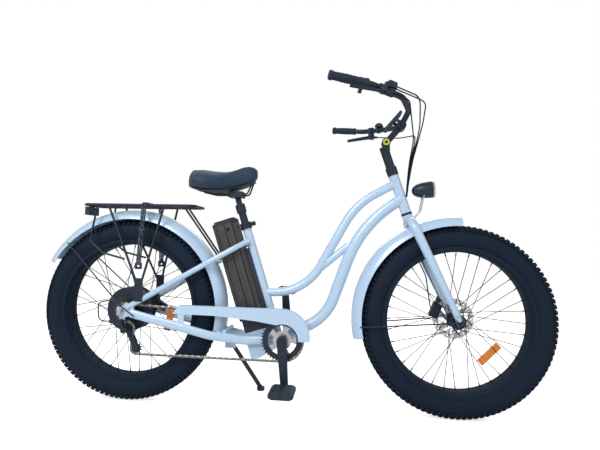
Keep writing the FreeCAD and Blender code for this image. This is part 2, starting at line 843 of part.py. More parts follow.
def battery():
    place = facing(seat_point(battery_low + N.battery_height / 2, battery_front), seat_up, seat_back)
    corners = battery_section(N.battery_depth, N.battery_width / 2, 0.0)
    plain = padded("battery_plain", corners, S.battery_height, place)
    grooves = []
    for way in (-1, 1):
        for reach in (0.38, 0.5, 0.62, 0.74):
            centre = seat_point(battery_low + N.battery_height / 2, battery_front + N.battery_depth * reach,
                                way * N.battery_width / 2)
            grooves.append(box("battery_groove", 4, BATTERY_GROOVE * 2, S.battery_height - 40, centre,
                               seat_up, seat_back))
    keep("battery_case", cut("battery_case", plain, *grooves))
    lid_centre = seat_point(battery_low + N.battery_height + CAP_HEIGHT / 2, battery_front)
    lid = padded("battery_lid", battery_section(N.battery_depth, N.battery_width / 2, 0.0), CAP_HEIGHT,
                 facing(lid_centre, seat_up, seat_back))
    crown_centre = seat_point(battery_low + N.battery_height + CAP_HEIGHT + 4, battery_front)
    crown = padded("battery_crown", battery_section(N.battery_depth, N.battery_width / 2, 9.0), 8,
                   facing(crown_centre, seat_up, seat_back))
    handle_centre = seat_point(battery_low + N.battery_height + CAP_HEIGHT + 8, battery_front + 62)
    handle_room = box("battery_handle_room", 34, 30, 12, handle_centre, seat_up, seat_back)
    keep("battery_cap", cut("battery_cap", fuse("battery_cap_joined", lid, crown), handle_room))


CAP_HEIGHT = 14.0


def battery_dock():
    """The rail on the seat tube and the foot that carries the battery on the controller housing."""
    rail_centre = seat_point(battery_low + 130, N.seat_tube_diameter / 2 + DOCK_THICKNESS / 2 - 3)
    rail = box("dock_rail", DOCK_THICKNESS + 6, 40, 290, rail_centre, seat_up, seat_back)
    foot = box("dock_foot", 96, 62, battery_low - DOCK_FOOT + 40,
               seat_point(battery_low - 24, battery_front + 46), seat_up, seat_back)
    joined = fuse("dock_joined", rail, foot)
    keep("battery_dock", cut("battery_dock", joined, seat_outer, bracket_joined, top_bent))


def seat_clamp():
    ring_foot = seat_point(N.seat_tube_length - 26)
    ring = cylinder("clamp_ring", S.seat_tube_diameter / 2 + 5, 26, ring_foot, seat_up)
    lug_centre = seat_point(N.seat_tube_length - 12, -N.seat_tube_diameter / 2 - 10)
    lug = box("clamp_lug", 26, 18, 16, lug_centre, seat_up, seat_back)
    bolt = rod("clamp_bolt", 3, seat_point(N.seat_tube_length - 12, -N.seat_tube_diameter / 2 - 14, -16),
               seat_point(N.seat_tube_length - 12, -N.seat_tube_diameter / 2 - 14, 16))
    hole = cylinder("clamp_hole", S.seat_tube_diameter / 2, 60, seat_point(N.seat_tube_length - 40), seat_up)
    keep("seat_clamp", cut("seat_clamp", fuse("clamp_joined", ring, lug, bolt), hole))


battery()
battery_dock()
seat_clamp()


# Drive: chain, sprockets, cranks, pedals and derailleur

COG_TEETH = (14, 16, 18, 20, 22, 24, 28)
ROLLER_SEAT_GAP = 0.15
SEAT_HALF_ANGLE = 62.0
TOOTH_RISE = 3.3
TOOTH_TIP = 1.0
GUIDE_PULLEY = rear_axle + Vector(24, 0, -70)
CAGE_LENGTH = 84.0
CAGE_ANGLE = -68.0
chain_y = -N.chain_line


def pitch_radius(teeth):
    return N.chain_pitch / (2 * math.sin(math.pi / teeth))


def sprocket(teeth, phase, bore, thickness):
    """A toothed disc: round roller seats on the pitch circle, with straight-flanked teeth between them."""
    reach = pitch_radius(teeth)
    seat = N.roller_diameter / 2 + ROLLER_SEAT_GAP
    tip = reach + TOOTH_RISE
    step = 2 * math.pi / teeth
    open_angle = math.radians(SEAT_HALF_ANGLE)

    def seat_at(heading, swing):
        centre = Vector(reach * math.cos(heading), reach * math.sin(heading), 0)
        turn = heading + math.pi + swing
        return centre + Vector(seat * math.cos(turn), seat * math.sin(turn), 0)

    def tip_at(heading, shift):
        along = Vector(math.cos(heading), math.sin(heading), 0)
        aside = Vector(-math.sin(heading), math.cos(heading), 0)
        return along * tip + aside * shift

    edges = []
    for index in range(teeth):
        heading = math.radians(phase) + index * step
        crest = heading + step / 2
        first, middle, last = (seat_at(heading, swing) for swing in (open_angle, 0, -open_angle))
        rise, fall = tip_at(crest, -TOOTH_TIP), tip_at(crest, TOOTH_TIP)
        following = seat_at(heading + step, open_angle)
        edges.append(Part.Arc(first, middle, last).toShape())
        edges.append(Part.LineSegment(last, rise).toShape())
        edges.append(Part.LineSegment(rise, fall).toShape())
        edges.append(Part.LineSegment(fall, following).toShape())
    disc = Part.Face(Part.Wire(edges))
    disc.translate(Vector(0, 0, -thickness / 2))
    solid = disc.extrude(Vector(0, 0, thickness))
    hole = Part.makeCylinder(bore, thickness * 2, Vector(0, 0, -thickness))
    return solid.cut(hole)


class Wrap:
    """One toothed wheel on the chain's route, and the way the chain goes round it."""

    def __init__(self, centre, teeth, way):
        self.centre = centre
        self.teeth = teeth
        self.way = way
        self.radius = pitch_radius(teeth)
        self.entry = 0.0
        self.leave = 0.0

    def turn(self):
        return (self.way * (self.leave - self.entry)) % (2 * math.pi)

    def pitches(self):
        return self.turn() / (2 * math.pi) * self.teeth

    def point(self, pitches):
        angle = self.entry + self.way * pitches * 2 * math.pi / self.teeth
        return around(self.centre, self.radius, math.degrees(angle))


def chain_route(cage_angle):
    """The wheels in the order in which the chain meets them, with the angles where it lands and leaves."""
    tension = around(GUIDE_PULLEY, CAGE_LENGTH, cage_angle)
    wraps = [Wrap(bracket, int(N.ring_teeth), -1), Wrap(tension, int(N.jockey_teeth), -1),
             Wrap(GUIDE_PULLEY, int(N.jockey_teeth), 1), Wrap(rear_axle, COG_TEETH[0], -1)]
    for index, first in enumerate(wraps):
        second = wraps[(index + 1) % len(wraps)]
        reach = second.centre - first.centre
        lean = math.asin((second.way * second.radius - first.way * first.radius) / reach.Length)
        heading = math.atan2(reach.z, reach.x) - lean
        first.leave = heading - first.way * math.pi / 2
        second.entry = heading - second.way * math.pi / 2
    return wraps


def straight_pitches(first, second):
    start = around(first.centre, first.radius, math.degrees(first.leave))
    end = around(second.centre, second.radius, math.degrees(second.entry))
    return (end - start).Length / N.chain_pitch


def chain_pitches(wraps):
    pairs = zip(wraps, wraps[1:] + wraps[:1])
    return sum(first.pitches() + straight_pitches(first, second) for first, second in pairs)


def tightened_route():
    """Turns the cage until the route holds a whole, even number of links."""
    low, high = CAGE_ANGLE - 25.0, CAGE_ANGLE + 25.0
    links = 2 * round(chain_pitches(chain_route(CAGE_ANGLE)) / 2)
    rising = chain_pitches(chain_route(high)) > chain_pitches(chain_route(low))
    for step in range(60):
        middle = (low + high) / 2
        if (chain_pitches(chain_route(middle)) < links) == rising:
            low = middle
        else:
            high = middle
    return chain_route(middle), links, middle


def roller_points(wraps, links):
    """Roller centres one pitch apart along the route, from where the chain lands on the chainring."""
    points = []
    start = 0.0
    for first, second in zip(wraps, wraps[1:] + wraps[:1]):
        arc = first.pitches()
        line = straight_pitches(first, second)
        leave = around(first.centre, first.radius, math.degrees(first.leave))
        land = around(second.centre, second.radius, math.degrees(second.entry))
        while len(points) < links and len(points) < start + arc + line - 1e-6:
            along = len(points) - start
            if along <= arc:
                points.append(first.point(along))
            else:
                points.append(leave + (land - leave) * ((along - arc) / line))
        start += arc + line
    return points


chain_wraps, chain_links, cage_angle = tightened_route()
rollers = roller_points(chain_wraps, chain_links)
ring_wrap, tension_wrap, guide_wrap, cog_wrap = chain_wraps
tension_pulley = tension_wrap.centre


def roller_phase(wrap):
    """Angle of one roller seated on the wheel, so that its tooth gaps stand under the rollers."""
    start = 0.0
    for first, second in zip(chain_wraps, chain_wraps[1:] + chain_wraps[:1]):
        if first is wrap:
            break
        start += first.pitches() + straight_pitches(first, second)
    first_roller = math.ceil(start - 1e-6)
    seat = wrap.point(first_roller - start) - wrap.centre
    return math.degrees(math.atan2(seat.z, seat.x))


PLATE_HALF_HEIGHT = 4.2
INNER_PLATE = (1.35, 2.2)
OUTER_PLATE = (2.3, 3.2)
PIN_RADIUS = 1.8
PIN_ROOM = 0.15
PIN_REACH = 3.5


def link_plates(span):
    ends = Vector(-N.chain_pitch / 2, 0, 0), Vector(N.chain_pitch / 2, 0, 0)
    plates = []
    for way in (-1, 1):
        plate = tapered_link(ends[0], PLATE_HALF_HEIGHT, ends[1], PLATE_HALF_HEIGHT, span[1] - span[0])
        plate.translate(Vector(0, 0, way * (span[0] + span[1]) / 2))
        plates.append(plate)
    return plates, ends


def inner_link():
    """Two inner plates joined by their rollers, bored for the pins."""
    plates, ends = link_plates(INNER_PLATE)
    solid = plates[0].fuse(plates[1])
    for end in ends:
        roller = Part.makeCylinder(N.roller_diameter / 2, INNER_PLATE[0] * 2, end - Z * INNER_PLATE[0])
        solid = solid.fuse(roller)
    for end in ends:
        solid = solid.cut(Part.makeCylinder(PIN_RADIUS + PIN_ROOM, PIN_REACH * 4, end - Z * (PIN_REACH * 2)))
    return solid


def outer_link():
    """Two outer plates joined by their pins."""
    plates, ends = link_plates(OUTER_PLATE)
    solid = plates[0].fuse(plates[1])
    for end in ends:
        solid = solid.fuse(Part.makeCylinder(PIN_RADIUS, PIN_REACH * 2, end - Z * PIN_REACH))
    return solid


def chain():
    """Every link of the roller chain, inner and outer in turn, laid along the route."""
    patterns = inner_link(), outer_link()
    solids = []
    for index, start in enumerate(rollers):
        end = rollers[(index + 1) % len(rollers)]
        link = patterns[index % 2].copy()
        link.Placement = facing((start + end) * 0.5, -Y, end - start)
        solids.append(link)
    return keep("chain", feature("chain", Part.makeCompound(solids), Placement(Y * chain_y, Rotation())))


CARRIER_RADIUS = 23.5


def freewheel():
    """Seven cogs on their carrier, the smallest one outside under the chain."""
    pieces = []
    for index, teeth in enumerate(COG_TEETH):
        phase = roller_phase(cog_wrap) if index == 0 else 0.0
        place = wheel_place(side(rear_axle, chain_y + index * N.cog_spacing))
        solid = sprocket(teeth, phase, CARRIER_RADIUS, N.sprocket_thickness)
        pieces.append(feature(f"cog_{teeth}", solid, place))
    depth = S.cog_spacing * (len(COG_TEETH) - 1) + S.sprocket_thickness
    low = side(rear_axle, chain_y - N.sprocket_thickness / 2)
    carrier = cylinder("cog_carrier", CARRIER_RADIUS, depth, low, Y)
    hole = cylinder("cog_carrier_hole", FREEWHEEL_BORE, depth + 20, low - Y * 10, Y)
    pieces.append(cut("cog_carrier_bored", carrier, hole))
    keep("freewheel", group("freewheel", *pieces))


RING_INNER = 62.0
SPIDER_RADIUS = 69.0
SPIDER_THICKNESS = 3.0
CRANK_BOSS = 19.0
CRANK_EYE = 14.0
spider_y = chain_y - N.sprocket_thickness / 2 - SPIDER_THICKNESS / 2


def chainring():
    """The toothed ring, its windowed spider and the five bolts that join them."""
    teeth = sprocket(int(N.ring_teeth), roller_phase(ring_wrap), RING_INNER, N.sprocket_thickness)
    ring = feature("toothed_ring", teeth, wheel_place(side(bracket, chain_y)))
    disc = Part.makeCylinder(SPIDER_RADIUS, SPIDER_THICKNESS, Vector(0, 0, -SPIDER_THICKNESS / 2))
    disc = disc.cut(Part.makeCylinder(CRANK_BOSS, 20, Vector(0, 0, -10)))
    for index in range(5):
        disc = disc.cut(sector(36, 56, 36 + 72 * index, 46, 20))
    spider = feature("chainring_spider", disc, wheel_place(side(bracket, spider_y)))
    bolts = []
    for index in range(5):
        middle = side(bracket, spider_y - SPIDER_THICKNESS / 2)
        centre = around(middle, (RING_INNER + SPIDER_RADIUS) / 2, 72 * index)
        bolts.append(cylinder("ring_bolt", 3, 2, centre, -Y))
    keep("chainring", group("chainring", ring, spider, *bolts))


crank_turn = math.radians(N.crank_angle)
crank_way = Vector(math.sin(crank_turn), 0, -math.cos(crank_turn))
crank_y = N.crank_inset + N.crank_thickness / 2
pedal_right_eye = side(bracket + crank_way * N.crank_length, -crank_y)
pedal_left_eye = side(bracket - crank_way * N.crank_length, crank_y)
crank_face = N.crank_inset + N.crank_thickness
PEDAL_GAP = 6.0


def crankset():
    """Both crank arms, the spindle between them, the two pedal spindles and the crank bolts."""
    pieces = []
    for way, reach in ((-1, crank_way), (1, -crank_way)):
        start = Vector(0, 0, 0)
        end = Vector(reach.x, reach.z, 0) * N.crank_length
        arm = feature("crank_arm_plain", tapered_link(start, CRANK_BOSS, end, CRANK_EYE, N.crank_thickness),
                      wheel_place(side(bracket, way * crank_y)))
        boss_start = side(bracket, way * (N.chain_line + 1))
        boss = cylinder("crank_boss", CRANK_BOSS, crank_face - N.chain_line - 1, boss_start, Y * way)
        bolt = cylinder("crank_bolt", 9, 4, side(bracket, way * crank_face), Y * way)
        eye = side(bracket + reach * N.crank_length, way * crank_face)
        arms = fuse("crank_arm", arm, boss, bolt)
        pieces.append(arms)
        pieces.append(cylinder("pedal_spindle", S.pedal_spindle_diameter / 2, S.pedal_width + PEDAL_GAP, eye,
                               Y * way))
    boss_inner = S.chain_line + 1
    pieces.append(cylinder("crank_spindle", S.spindle_diameter / 2, boss_inner * 2,
                           side(bracket, -float(boss_inner)), Y))
    keep("crankset", group("crankset", *pieces))


def pedal(name, eye, way):
    """A block pedal with bevelled ends, three grip grooves on each face and a bore for its spindle."""
    centre = side(eye, way * (crank_face + PEDAL_GAP + N.pedal_width / 2 - 0.5))
    half, tall = S.pedal_length / 2, S.pedal_height / 2
    bevel = 12
    corners = [(-half, -tall * 0.45), (-half + bevel, -tall), (half - bevel, -tall), (half, -tall * 0.45),
               (half, tall * 0.45), (half - bevel, tall), (-half + bevel, tall), (-half, tall * 0.45)]
    block = padded(f"{name}_block", corners, S.pedal_width - 3, wheel_place(centre))
    bore = cylinder(f"{name}_bore", S.pedal_spindle_diameter / 2 + S.running_clearance, 200,
                    centre - Y * 100, Y)
    grooves = []
    for face in (-1, 1):
        for shift in (-0.28, 0.0, 0.28):
            spot = centre + Vector(N.pedal_length * shift, 0, face * N.pedal_height / 2)
            grooves.append(box(f"{name}_groove", 9, S.pedal_width - 22, 6, spot))
    keep(name, cut(name, block, bore, *grooves))


CAGE_PLATE = 1.6
CAGE_HALF_GAP = 5.0
PULLEY_BORE = 2.6


def jockey(name, wrap):
    """A toothed pulley with a wider hub, running on its cage bolt."""
    disc = sprocket(wrap.teeth, roller_phase(wrap), PULLEY_BORE + N.running_clearance, N.sprocket_thickness)
    hub = Part.makeCylinder(9, CAGE_HALF_GAP * 2 - 1, Vector(0, 0, -CAGE_HALF_GAP + 0.5))
    hub = hub.cut(Part.makeCylinder(PULLEY_BORE + N.running_clearance, 40, Vector(0, 0, -20)))
    keep(name, feature(name, disc.fuse(hub), wheel_place(side(wrap.centre, chain_y))))


def derailleur_cage():
    """Two cage plates joined by the pulley bolts."""
    pieces = []
    reach = tension_pulley - GUIDE_PULLEY
    end = Vector(reach.x, reach.z, 0)
    for way in (-1, 1):
        plate = tapered_link(Vector(0, 0, 0), 13, end, 10, CAGE_PLATE)
        place = wheel_place(side(GUIDE_PULLEY, chain_y + way * (CAGE_HALF_GAP + CAGE_PLATE / 2)))
        pieces.append(feature("cage_plate", plate, place))
    outside = CAGE_HALF_GAP + CAGE_PLATE
    for centre in (GUIDE_PULLEY, tension_pulley):
        pieces.append(rod("cage_bolt", PULLEY_BORE, side(centre, chain_y - outside),
                          side(centre, chain_y + outside)))
    keep("derailleur_cage", fuse("derailleur_cage", *pieces))


DERAILLEUR_Y = DROPOUT_Y + N.dropout_thickness / 2
hanger_pin = side(rear_axle, -DERAILLEUR_Y) + Vector(6, 0, -40)


def rear_derailleur():
    """The fixed half: hanger knuckle, sloping link block, cage knuckle and the looped cable housing."""
    knuckle = cylinder("hanger_knuckle", 12, 20, hanger_pin, -Y)
    inner_face = chain_y - CAGE_HALF_GAP - CAGE_PLATE - 0.3
    cage_knuckle = rod("cage_knuckle", 12, side(GUIDE_PULLEY, inner_face),
                       side(GUIDE_PULLEY, -DERAILLEUR_Y - 22))
    block_start = hanger_pin - Y * 12
    block_end = side(GUIDE_PULLEY, -DERAILLEUR_Y - 12)
    along = block_end - block_start
    block_middle = (block_start + block_end) * 0.5
    block = box("derailleur_block", along.Length, 17, 17, block_middle, Y.cross(unit(along)), along)
    arm = box("derailleur_arm", 42, 10, 15, hanger_pin + Vector(-22, -12, 2))
    body = fuse("derailleur_body", knuckle, cage_knuckle, block, arm)
    tail = hanger_pin + Vector(-43, -12, 2)
    anchor = rear_axle + Vector(60, -STAY_Y - N.chainstay_width / 2 - 2.9, -16)
    points = [tail, tail + Vector(-46, 0, 0), side(rear_axle, anchor.y) + Vector(-90, 0, 34),
              side(rear_axle, anchor.y) + Vector(-30, 0, 46), anchor]
    housing = tube("derailleur_housing", 2.5, points, (24.0, 20.0, 16.0))
    keep("rear_derailleur", group("rear_derailleur", body, housing))


def rear_axle_set():
    """The fixed motor axle with its washers and nuts."""
    reach = DROPOUT_Y + N.dropout_thickness / 2
    end = reach + 18
    pieces = [rod("axle_bar", S.rear_axle_diameter / 2, side(rear_axle, -end), side(rear_axle, end))]
    for way in (-1, 1):
        face = side(rear_axle, way * reach)
        pieces.append(cylinder("axle_washer", 13, 2, face, Y * way))
        nut = doc.addObject("Part::Prism", "axle_nut")
        nut.Polygon = 6
        nut.Circumradius = 11
        nut.Height = 10
        nut.Placement = facing(face + Y * (2 * way), Y * way)
        pieces.append(nut)
    inner = N.rear_hub_spacing / 2
    for way, start in ((-1, N.chain_line + 4.3), (1, 72.3)):
        pieces.append(cylinder("axle_spacer", 9, inner - start, side(rear_axle, way * start), Y * way))
    keep("rear_axle", fuse("rear_axle", *pieces))


GUARD_Y = 80.5
GUARD_SHEET = 2.0
GUARD_WINDOW = 62.0
GUARD_LIP = 16.0


def chain_guard():
    """A flat guard over the upper chain run, with a turned-in top lip and a rear leg to the chainstay."""
    top = 118.0
    rear = -414.0
    centre = Vector(-2, 12, 0)
    reach = top - centre.y
    end_angle = math.radians(-8)
    diagonal = math.radians(41)

    def bow(radius, angle, about):
        return about + Vector(radius * math.cos(angle), radius * math.sin(angle), 0)

    nose = bow(reach, end_angle, centre)
    window = Vector(0, 0, 0)
    inner_end = bow(GUARD_WINDOW, math.radians(-2), window)
    inner_start = bow(GUARD_WINDOW, math.radians(112), window)
    corners = [Vector(rear, top, 0), Vector(centre.x, top, 0)]
    edges = [
        Part.LineSegment(corners[0], corners[1]).toShape(),
        Part.Arc(corners[1], bow(reach, diagonal, centre), nose).toShape(),
        Part.LineSegment(nose, inner_end).toShape(),
        Part.Arc(inner_end, bow(GUARD_WINDOW, math.radians(55), window), inner_start).toShape(),
    ]
    straight = [inner_start, Vector(-105, 70, 0), Vector(rear + 150, 84, 0), Vector(rear - 26, 86, 0),
                corners[0]]
    for start, end in zip(straight, straight[1:]):
        edges.append(Part.LineSegment(start, end).toShape())
    plate = Part.Face(Part.Wire(edges)).extrude(Vector(0, 0, GUARD_SHEET))
    lip_edges = edges[:2]
    lip_wire = Part.Wire(lip_edges)
    lip = lip_wire.extrude(Vector(0, 0, -GUARD_LIP)).makeOffsetShape(-GUARD_SHEET, 0.01, fill=True)
    sheet_metal = plate.fuse(lip)
    leg = Part.makeBox(26, 50, GUARD_SHEET, Vector(rear - 4, 40, 0))
    guard_place = wheel_place(side(bracket, -GUARD_Y))
    guard = feature("guard_sheet", sheet_metal.fuse(leg).removeSplitter(), guard_place)
    spot = bracket + Vector(rear + 9, 0, 46)
    bolt = rod("guard_bolt", 5, side(spot, -GUARD_Y), side(spot, -60))
    keep("chain_guard", cut("chain_guard", fuse("guard_joined", guard, bolt), chainstay_bent))


chain()
freewheel()
chainring()
crankset()
pedal("pedal_right", pedal_right_eye, -1)
pedal("pedal_left", pedal_left_eye, 1)
jockey("jockey_upper", guide_wrap)
jockey("jockey_lower", tension_wrap)
derailleur_cage()
rear_derailleur()
rear_axle_set()
chain_guard()


# Fork, front axle and stem riser

CROWN_DROP = 22.0
SHOULDER_DROP = 36.0
BLADE_START = 70.0
FORK_END_GAP = 34.0
STEERER_ABOVE = 40.0
shoulder = crown_top - steer_up * SHOULDER_DROP
blade_way = unit(front_axle - shoulder)
fork_dropout_y = N.front_hub_spacing / 2 + N.dropout_thickness / 2


def fork():
    """Steerer, rounded crown, two tapering blades with slotted ends, and the hollow axle with its nuts."""
    steerer_length = S.headset_height * 2 + S.head_tube_length + STEERER_ABOVE + CROWN_DROP
    crown_foot = crown_top - steer_up * CROWN_DROP
    steerer = cylinder("steerer", S.steerer_diameter / 2, steerer_length, crown_foot, steer_up)
    neck = cylinder("fork_neck", S.fork_blade_radius + 3, CROWN_DROP, crown_foot, steer_up)
    pieces = [steerer, neck]
    for way in (-1, 1):
        centre = crown_top - steer_up * CROWN_DROP
        corner = side(shoulder, way * N.fork_spread)
        blade_top = corner + blade_way * BLADE_START
        blade_end = side(front_axle, way * N.fork_spread) - blade_way * FORK_END_GAP
        pieces.append(tube("fork_shoulder", S.fork_blade_radius, [centre, corner, blade_top], (46.0,)))
        pieces.append(cone("fork_blade", S.fork_blade_radius, S.fork_tip_radius, blade_top, blade_end))
        tip = side(front_axle, way * fork_dropout_y)
        lug = tip - blade_way * 22
        pieces.append(box("fork_lug", 62, S.dropout_thickness, 26, lug, blade_way.cross(Y), blade_way))
    joined = fuse("fork_joined", *pieces)
    room = S.front_axle_diameter / 2 + S.running_clearance
    hole = cylinder("fork_axle_room", room, 240, side(front_axle, -120), Y)
    slots = [box("fork_slot", 30, S.dropout_thickness * 2, room * 2,
                 side(front_axle, way * fork_dropout_y) + blade_way * 15, blade_way.cross(Y), blade_way)
             for way in (-1, 1)]
    body = cut("fork_body", joined, hole, *slots)
    reach = fork_dropout_y + N.dropout_thickness / 2
    end = reach + 12
    bar = [rod("front_axle_bar", S.front_axle_diameter / 2, side(front_axle, -end), side(front_axle, end))]
    for way in (-1, 1):
        nut = doc.addObject("Part::Prism", "front_axle_nut")
        nut.Polygon = 6
        nut.Circumradius = 10
        nut.Height = 9
        nut.Placement = facing(side(front_axle, way * reach), Y * way)
        bar.append(nut)
    bore = cylinder("front_axle_hole", S.front_axle_bore / 2, 240, side(front_axle, -120), Y)
    axle = cut("front_axle_bored", fuse("front_axle_joined", *bar), bore)
    keep("fork", group("fork", body, axle))
    return body


RISER_RADIUS = 18.0
RISER_HEIGHT = 112.0
PIVOT_FORWARD = 14.0
PIVOT_HEIGHT = 126.0
EYE_HALF = 9.5
CHEEK_HALF = 19.0
PIVOT_RADIUS = 17.0
PIVOT_BOLT = 5.0
stem_pivot = stem_seat + steer_up * PIVOT_HEIGHT + steer_forward * PIVOT_FORWARD
bar_clamp = stem_pivot + Vector(59, 0, 69)
arm_way = unit(bar_clamp - stem_pivot)


def stem_riser():
    """The riser clamped on the steerer, with two cheeks that hold the tilting stem arm."""
    post = cylinder("riser_post", RISER_RADIUS, RISER_HEIGHT, stem_seat, steer_up)
    collar = cylinder("riser_collar", RISER_RADIUS + 4, 26, stem_seat, steer_up)
    neck_start = stem_seat + steer_up * (RISER_HEIGHT - 30)
    reach = stem_pivot - neck_start
    neck = box("riser_neck", reach.Length, CHEEK_HALF * 2, 28, (neck_start + stem_pivot) * 0.5,
               Y.cross(unit(reach)), reach)
    head = rod("riser_head", PIVOT_RADIUS, side(stem_pivot, -CHEEK_HALF), side(stem_pivot, CHEEK_HALF))
    solid = fuse("riser_solid", post, collar, neck, head)
    bore = cylinder("riser_bore", S.steerer_diameter / 2, STEERER_ABOVE + 2, stem_seat, steer_up)
    gap = rod("riser_gap", PIVOT_RADIUS + 12, side(stem_pivot, -EYE_HALF - 0.3),
              side(stem_pivot, EYE_HALF + 0.3))
    body = cut("riser_body", solid, bore, gap)
    bolt = rod("pivot_bolt", PIVOT_BOLT, side(stem_pivot, -CHEEK_HALF), side(stem_pivot, CHEEK_HALF))
    rings = []
    for way in (-1, 1):
        rings.append(cylinder("pivot_ring", 13, 3, side(stem_pivot, way * CHEEK_HALF), Y * way))
    keep("stem_riser", fuse("stem_riser", body, bolt, *rings))


# Handlebar with its stem arm and controls

SLEEVE_RADIUS = 12.7
SLEEVE_HALF = 26.0
BAR_GRIP_LENGTH = 150.0
bar_corner_one = bar_clamp + Vector(0, -42, 0)
bar_corner_two = bar_clamp + Vector(17, -95, 32)
bar_corner_three = bar_clamp + Vector(-21, -205, 45)
bar_corner_four = bar_clamp + Vector(-136, -297, 58)
grip_way = unit(Vector(-0.948, -0.291, 0.119))
bar_end = bar_corner_four + grip_way * BAR_GRIP_LENGTH
control_way = unit(bar_corner_four - bar_corner_three)
bar_radius = S.bar_diameter / 2


def bar_point(along):
    """A point on the straight stretch of the right bar that carries the controls."""
    return bar_corner_three + control_way * along


def stem_arm():
    eye = rod("arm_eye", PIVOT_RADIUS - 1, side(stem_pivot, -EYE_HALF), side(stem_pivot, EYE_HALF))
    reach = bar_clamp - stem_pivot
    beam_middle = (stem_pivot + bar_clamp) * 0.5
    beam = box("arm_beam", reach.Length, EYE_HALF * 2, 24, beam_middle, Y.cross(arm_way), arm_way)
    clamp = rod("arm_clamp", SLEEVE_RADIUS + 6, side(bar_clamp, -22), side(bar_clamp, 22))
    hole = rod("arm_clamp_hole", SLEEVE_RADIUS, side(bar_clamp, -40), side(bar_clamp, 40))
    bolt_room = rod("arm_bolt_room", PIVOT_BOLT + 0.05, side(stem_pivot, -40), side(stem_pivot, 40))
    keep("stem_arm", cut("stem_arm", fuse("arm_joined", eye, beam, clamp), hole, bolt_room))


def handlebar():
    """A swept-back cruiser bar: one bent half and its mirror image, with a thicker middle sleeve."""
    points = [bar_clamp, bar_corner_one, bar_corner_two, bar_corner_three, bar_corner_four, bar_end]
    half = tube("bar_half", bar_radius, points, (40.0, 55.0, 80.0, 70.0))
    other = mirrored("bar_other_half", half)
    sleeve = rod("bar_sleeve", SLEEVE_RADIUS, side(bar_clamp, -SLEEVE_HALF), side(bar_clamp, SLEEVE_HALF))
    keep("handlebar", fuse("handlebar", half, other, sleeve))


GRIP_START = 40.0


def grips():
    """Waisted grips with an end flange, one on each side."""
    radius = S.grip_diameter / 2
    length = BAR_GRIP_LENGTH - GRIP_START
    corners = [(bar_radius, 0), (radius, 0), (radius, 5), (radius - 1.5, 9), (radius - 0.5, length * 0.45),
               (radius - 2, length - 14), (radius + 1, length - 6), (radius - 1, length + 2), (2, length + 2),
               (2, length + 0.3), (bar_radius, length + 0.3)]
    right = turned("grip_right", corners, bar_corner_four + grip_way * GRIP_START, grip_way)
    keep("grips", group("grips", right, mirrored("grip_left", right)))


lever_out = unit(Z.cross(grip_way))
LEVER_TILT = math.radians(35)
lever_side = lever_out * math.cos(LEVER_TILT) - Z * math.sin(LEVER_TILT)
lever_side = unit(lever_side - grip_way * lever_side.dot(grip_way))
lever_axis = grip_way.cross(lever_side)
PERCH_AT = 104.0
POD_AT = 62.0
LEVER_PIVOT_OUT = 38.0
perch_centre = bar_point(PERCH_AT)
lever_pivot = perch_centre + lever_side * LEVER_PIVOT_OUT + grip_way * 4
LEVER_PIN = 2.5
LEVER_EYE = 8.0
LEVER_THICKNESS = 8.0
LEVER_GAP = 0.3
CABLE_END = 30.0
pod_up = unit(Z - control_way * Z.dot(control_way))


def ring_on_bar(name, centre, way, radius, width):
    return cylinder(name, radius, width, centre - way * (width / 2), way)


def bar_controls():
    """Brake perches on both sides, throttle housing and shifter pod on the right, bell on the left."""
    bar_hole = rod("perch_bar_hole", bar_radius, bar_point(20), bar_point(140))
    ring = ring_on_bar("perch_ring", perch_centre, control_way, 16, 18)
    arm_start = perch_centre + lever_side * 6
    arm_end = arm_start + lever_side * (LEVER_PIVOT_OUT + 2)
    arm_middle = (arm_start + arm_end) * 0.5 + grip_way * 2
    arm = box("perch_arm", LEVER_PIVOT_OUT + 2, 23, 19, arm_middle, lever_axis, lever_side)
    web = LEVER_EYE + 2 * LEVER_GAP
    cheek_room = box("perch_gap", 34, 40, LEVER_THICKNESS + 2 * LEVER_GAP,
                     lever_pivot + lever_side * 2 + grip_way * (20 - web), lever_axis, lever_side)
    barrel = rod("perch_barrel", 5, lever_pivot - grip_way * (web + 1), lever_pivot - grip_way * CABLE_END)
    pin = rod("perch_pin", LEVER_PIN, lever_pivot - lever_axis * 10, lever_pivot + lever_axis * 10)
    cheeks = cut("perch_cheeks", arm, bar_hole, cheek_room)
    right = cut("perch_band", ring, bar_hole)
    for piece in (cheeks, barrel, pin):
        right = weld("perch_right", right, piece)
    left = mirrored("perch_left", right)
    pod_centre = bar_point(POD_AT)
    pod_ring = ring_on_bar("pod_ring", pod_centre, control_way, 16, 22)
    pod_box = box("pod_box", 34, 30, 22, pod_centre + pod_up * 24, pod_up, control_way)
    pod = cut("shifter_pod", fuse("pod_joined", pod_ring, pod_box), bar_hole)
    throttle_ring = ring_on_bar("throttle_ring", bar_corner_four + grip_way * 20, grip_way, 17, 10)
    throttle_hole = rod("throttle_hole", bar_radius, bar_corner_four, bar_corner_four + grip_way * 60)
    throttle = cut("throttle_housing", throttle_ring, throttle_hole)
    bell_ring = ring_on_bar("bell_ring", pod_centre, control_way, 14.5, 10)
    bell_dome = doc.addObject("Part::Sphere", "bell_dome")
    bind(bell_dome, Radius=20, Angle1=0, Angle2=90)
    bell_dome.Placement = facing(pod_centre + pod_up * 14, pod_up)
    bell = mirrored("bell", cut("bell_right", fuse("bell_joined", bell_ring, bell_dome), bar_hole))
    keep("bar_controls", group("bar_controls", right, left, pod, throttle, bell))


LEVER_LENGTH = 118.0
LEVER_FLARE = 30.0


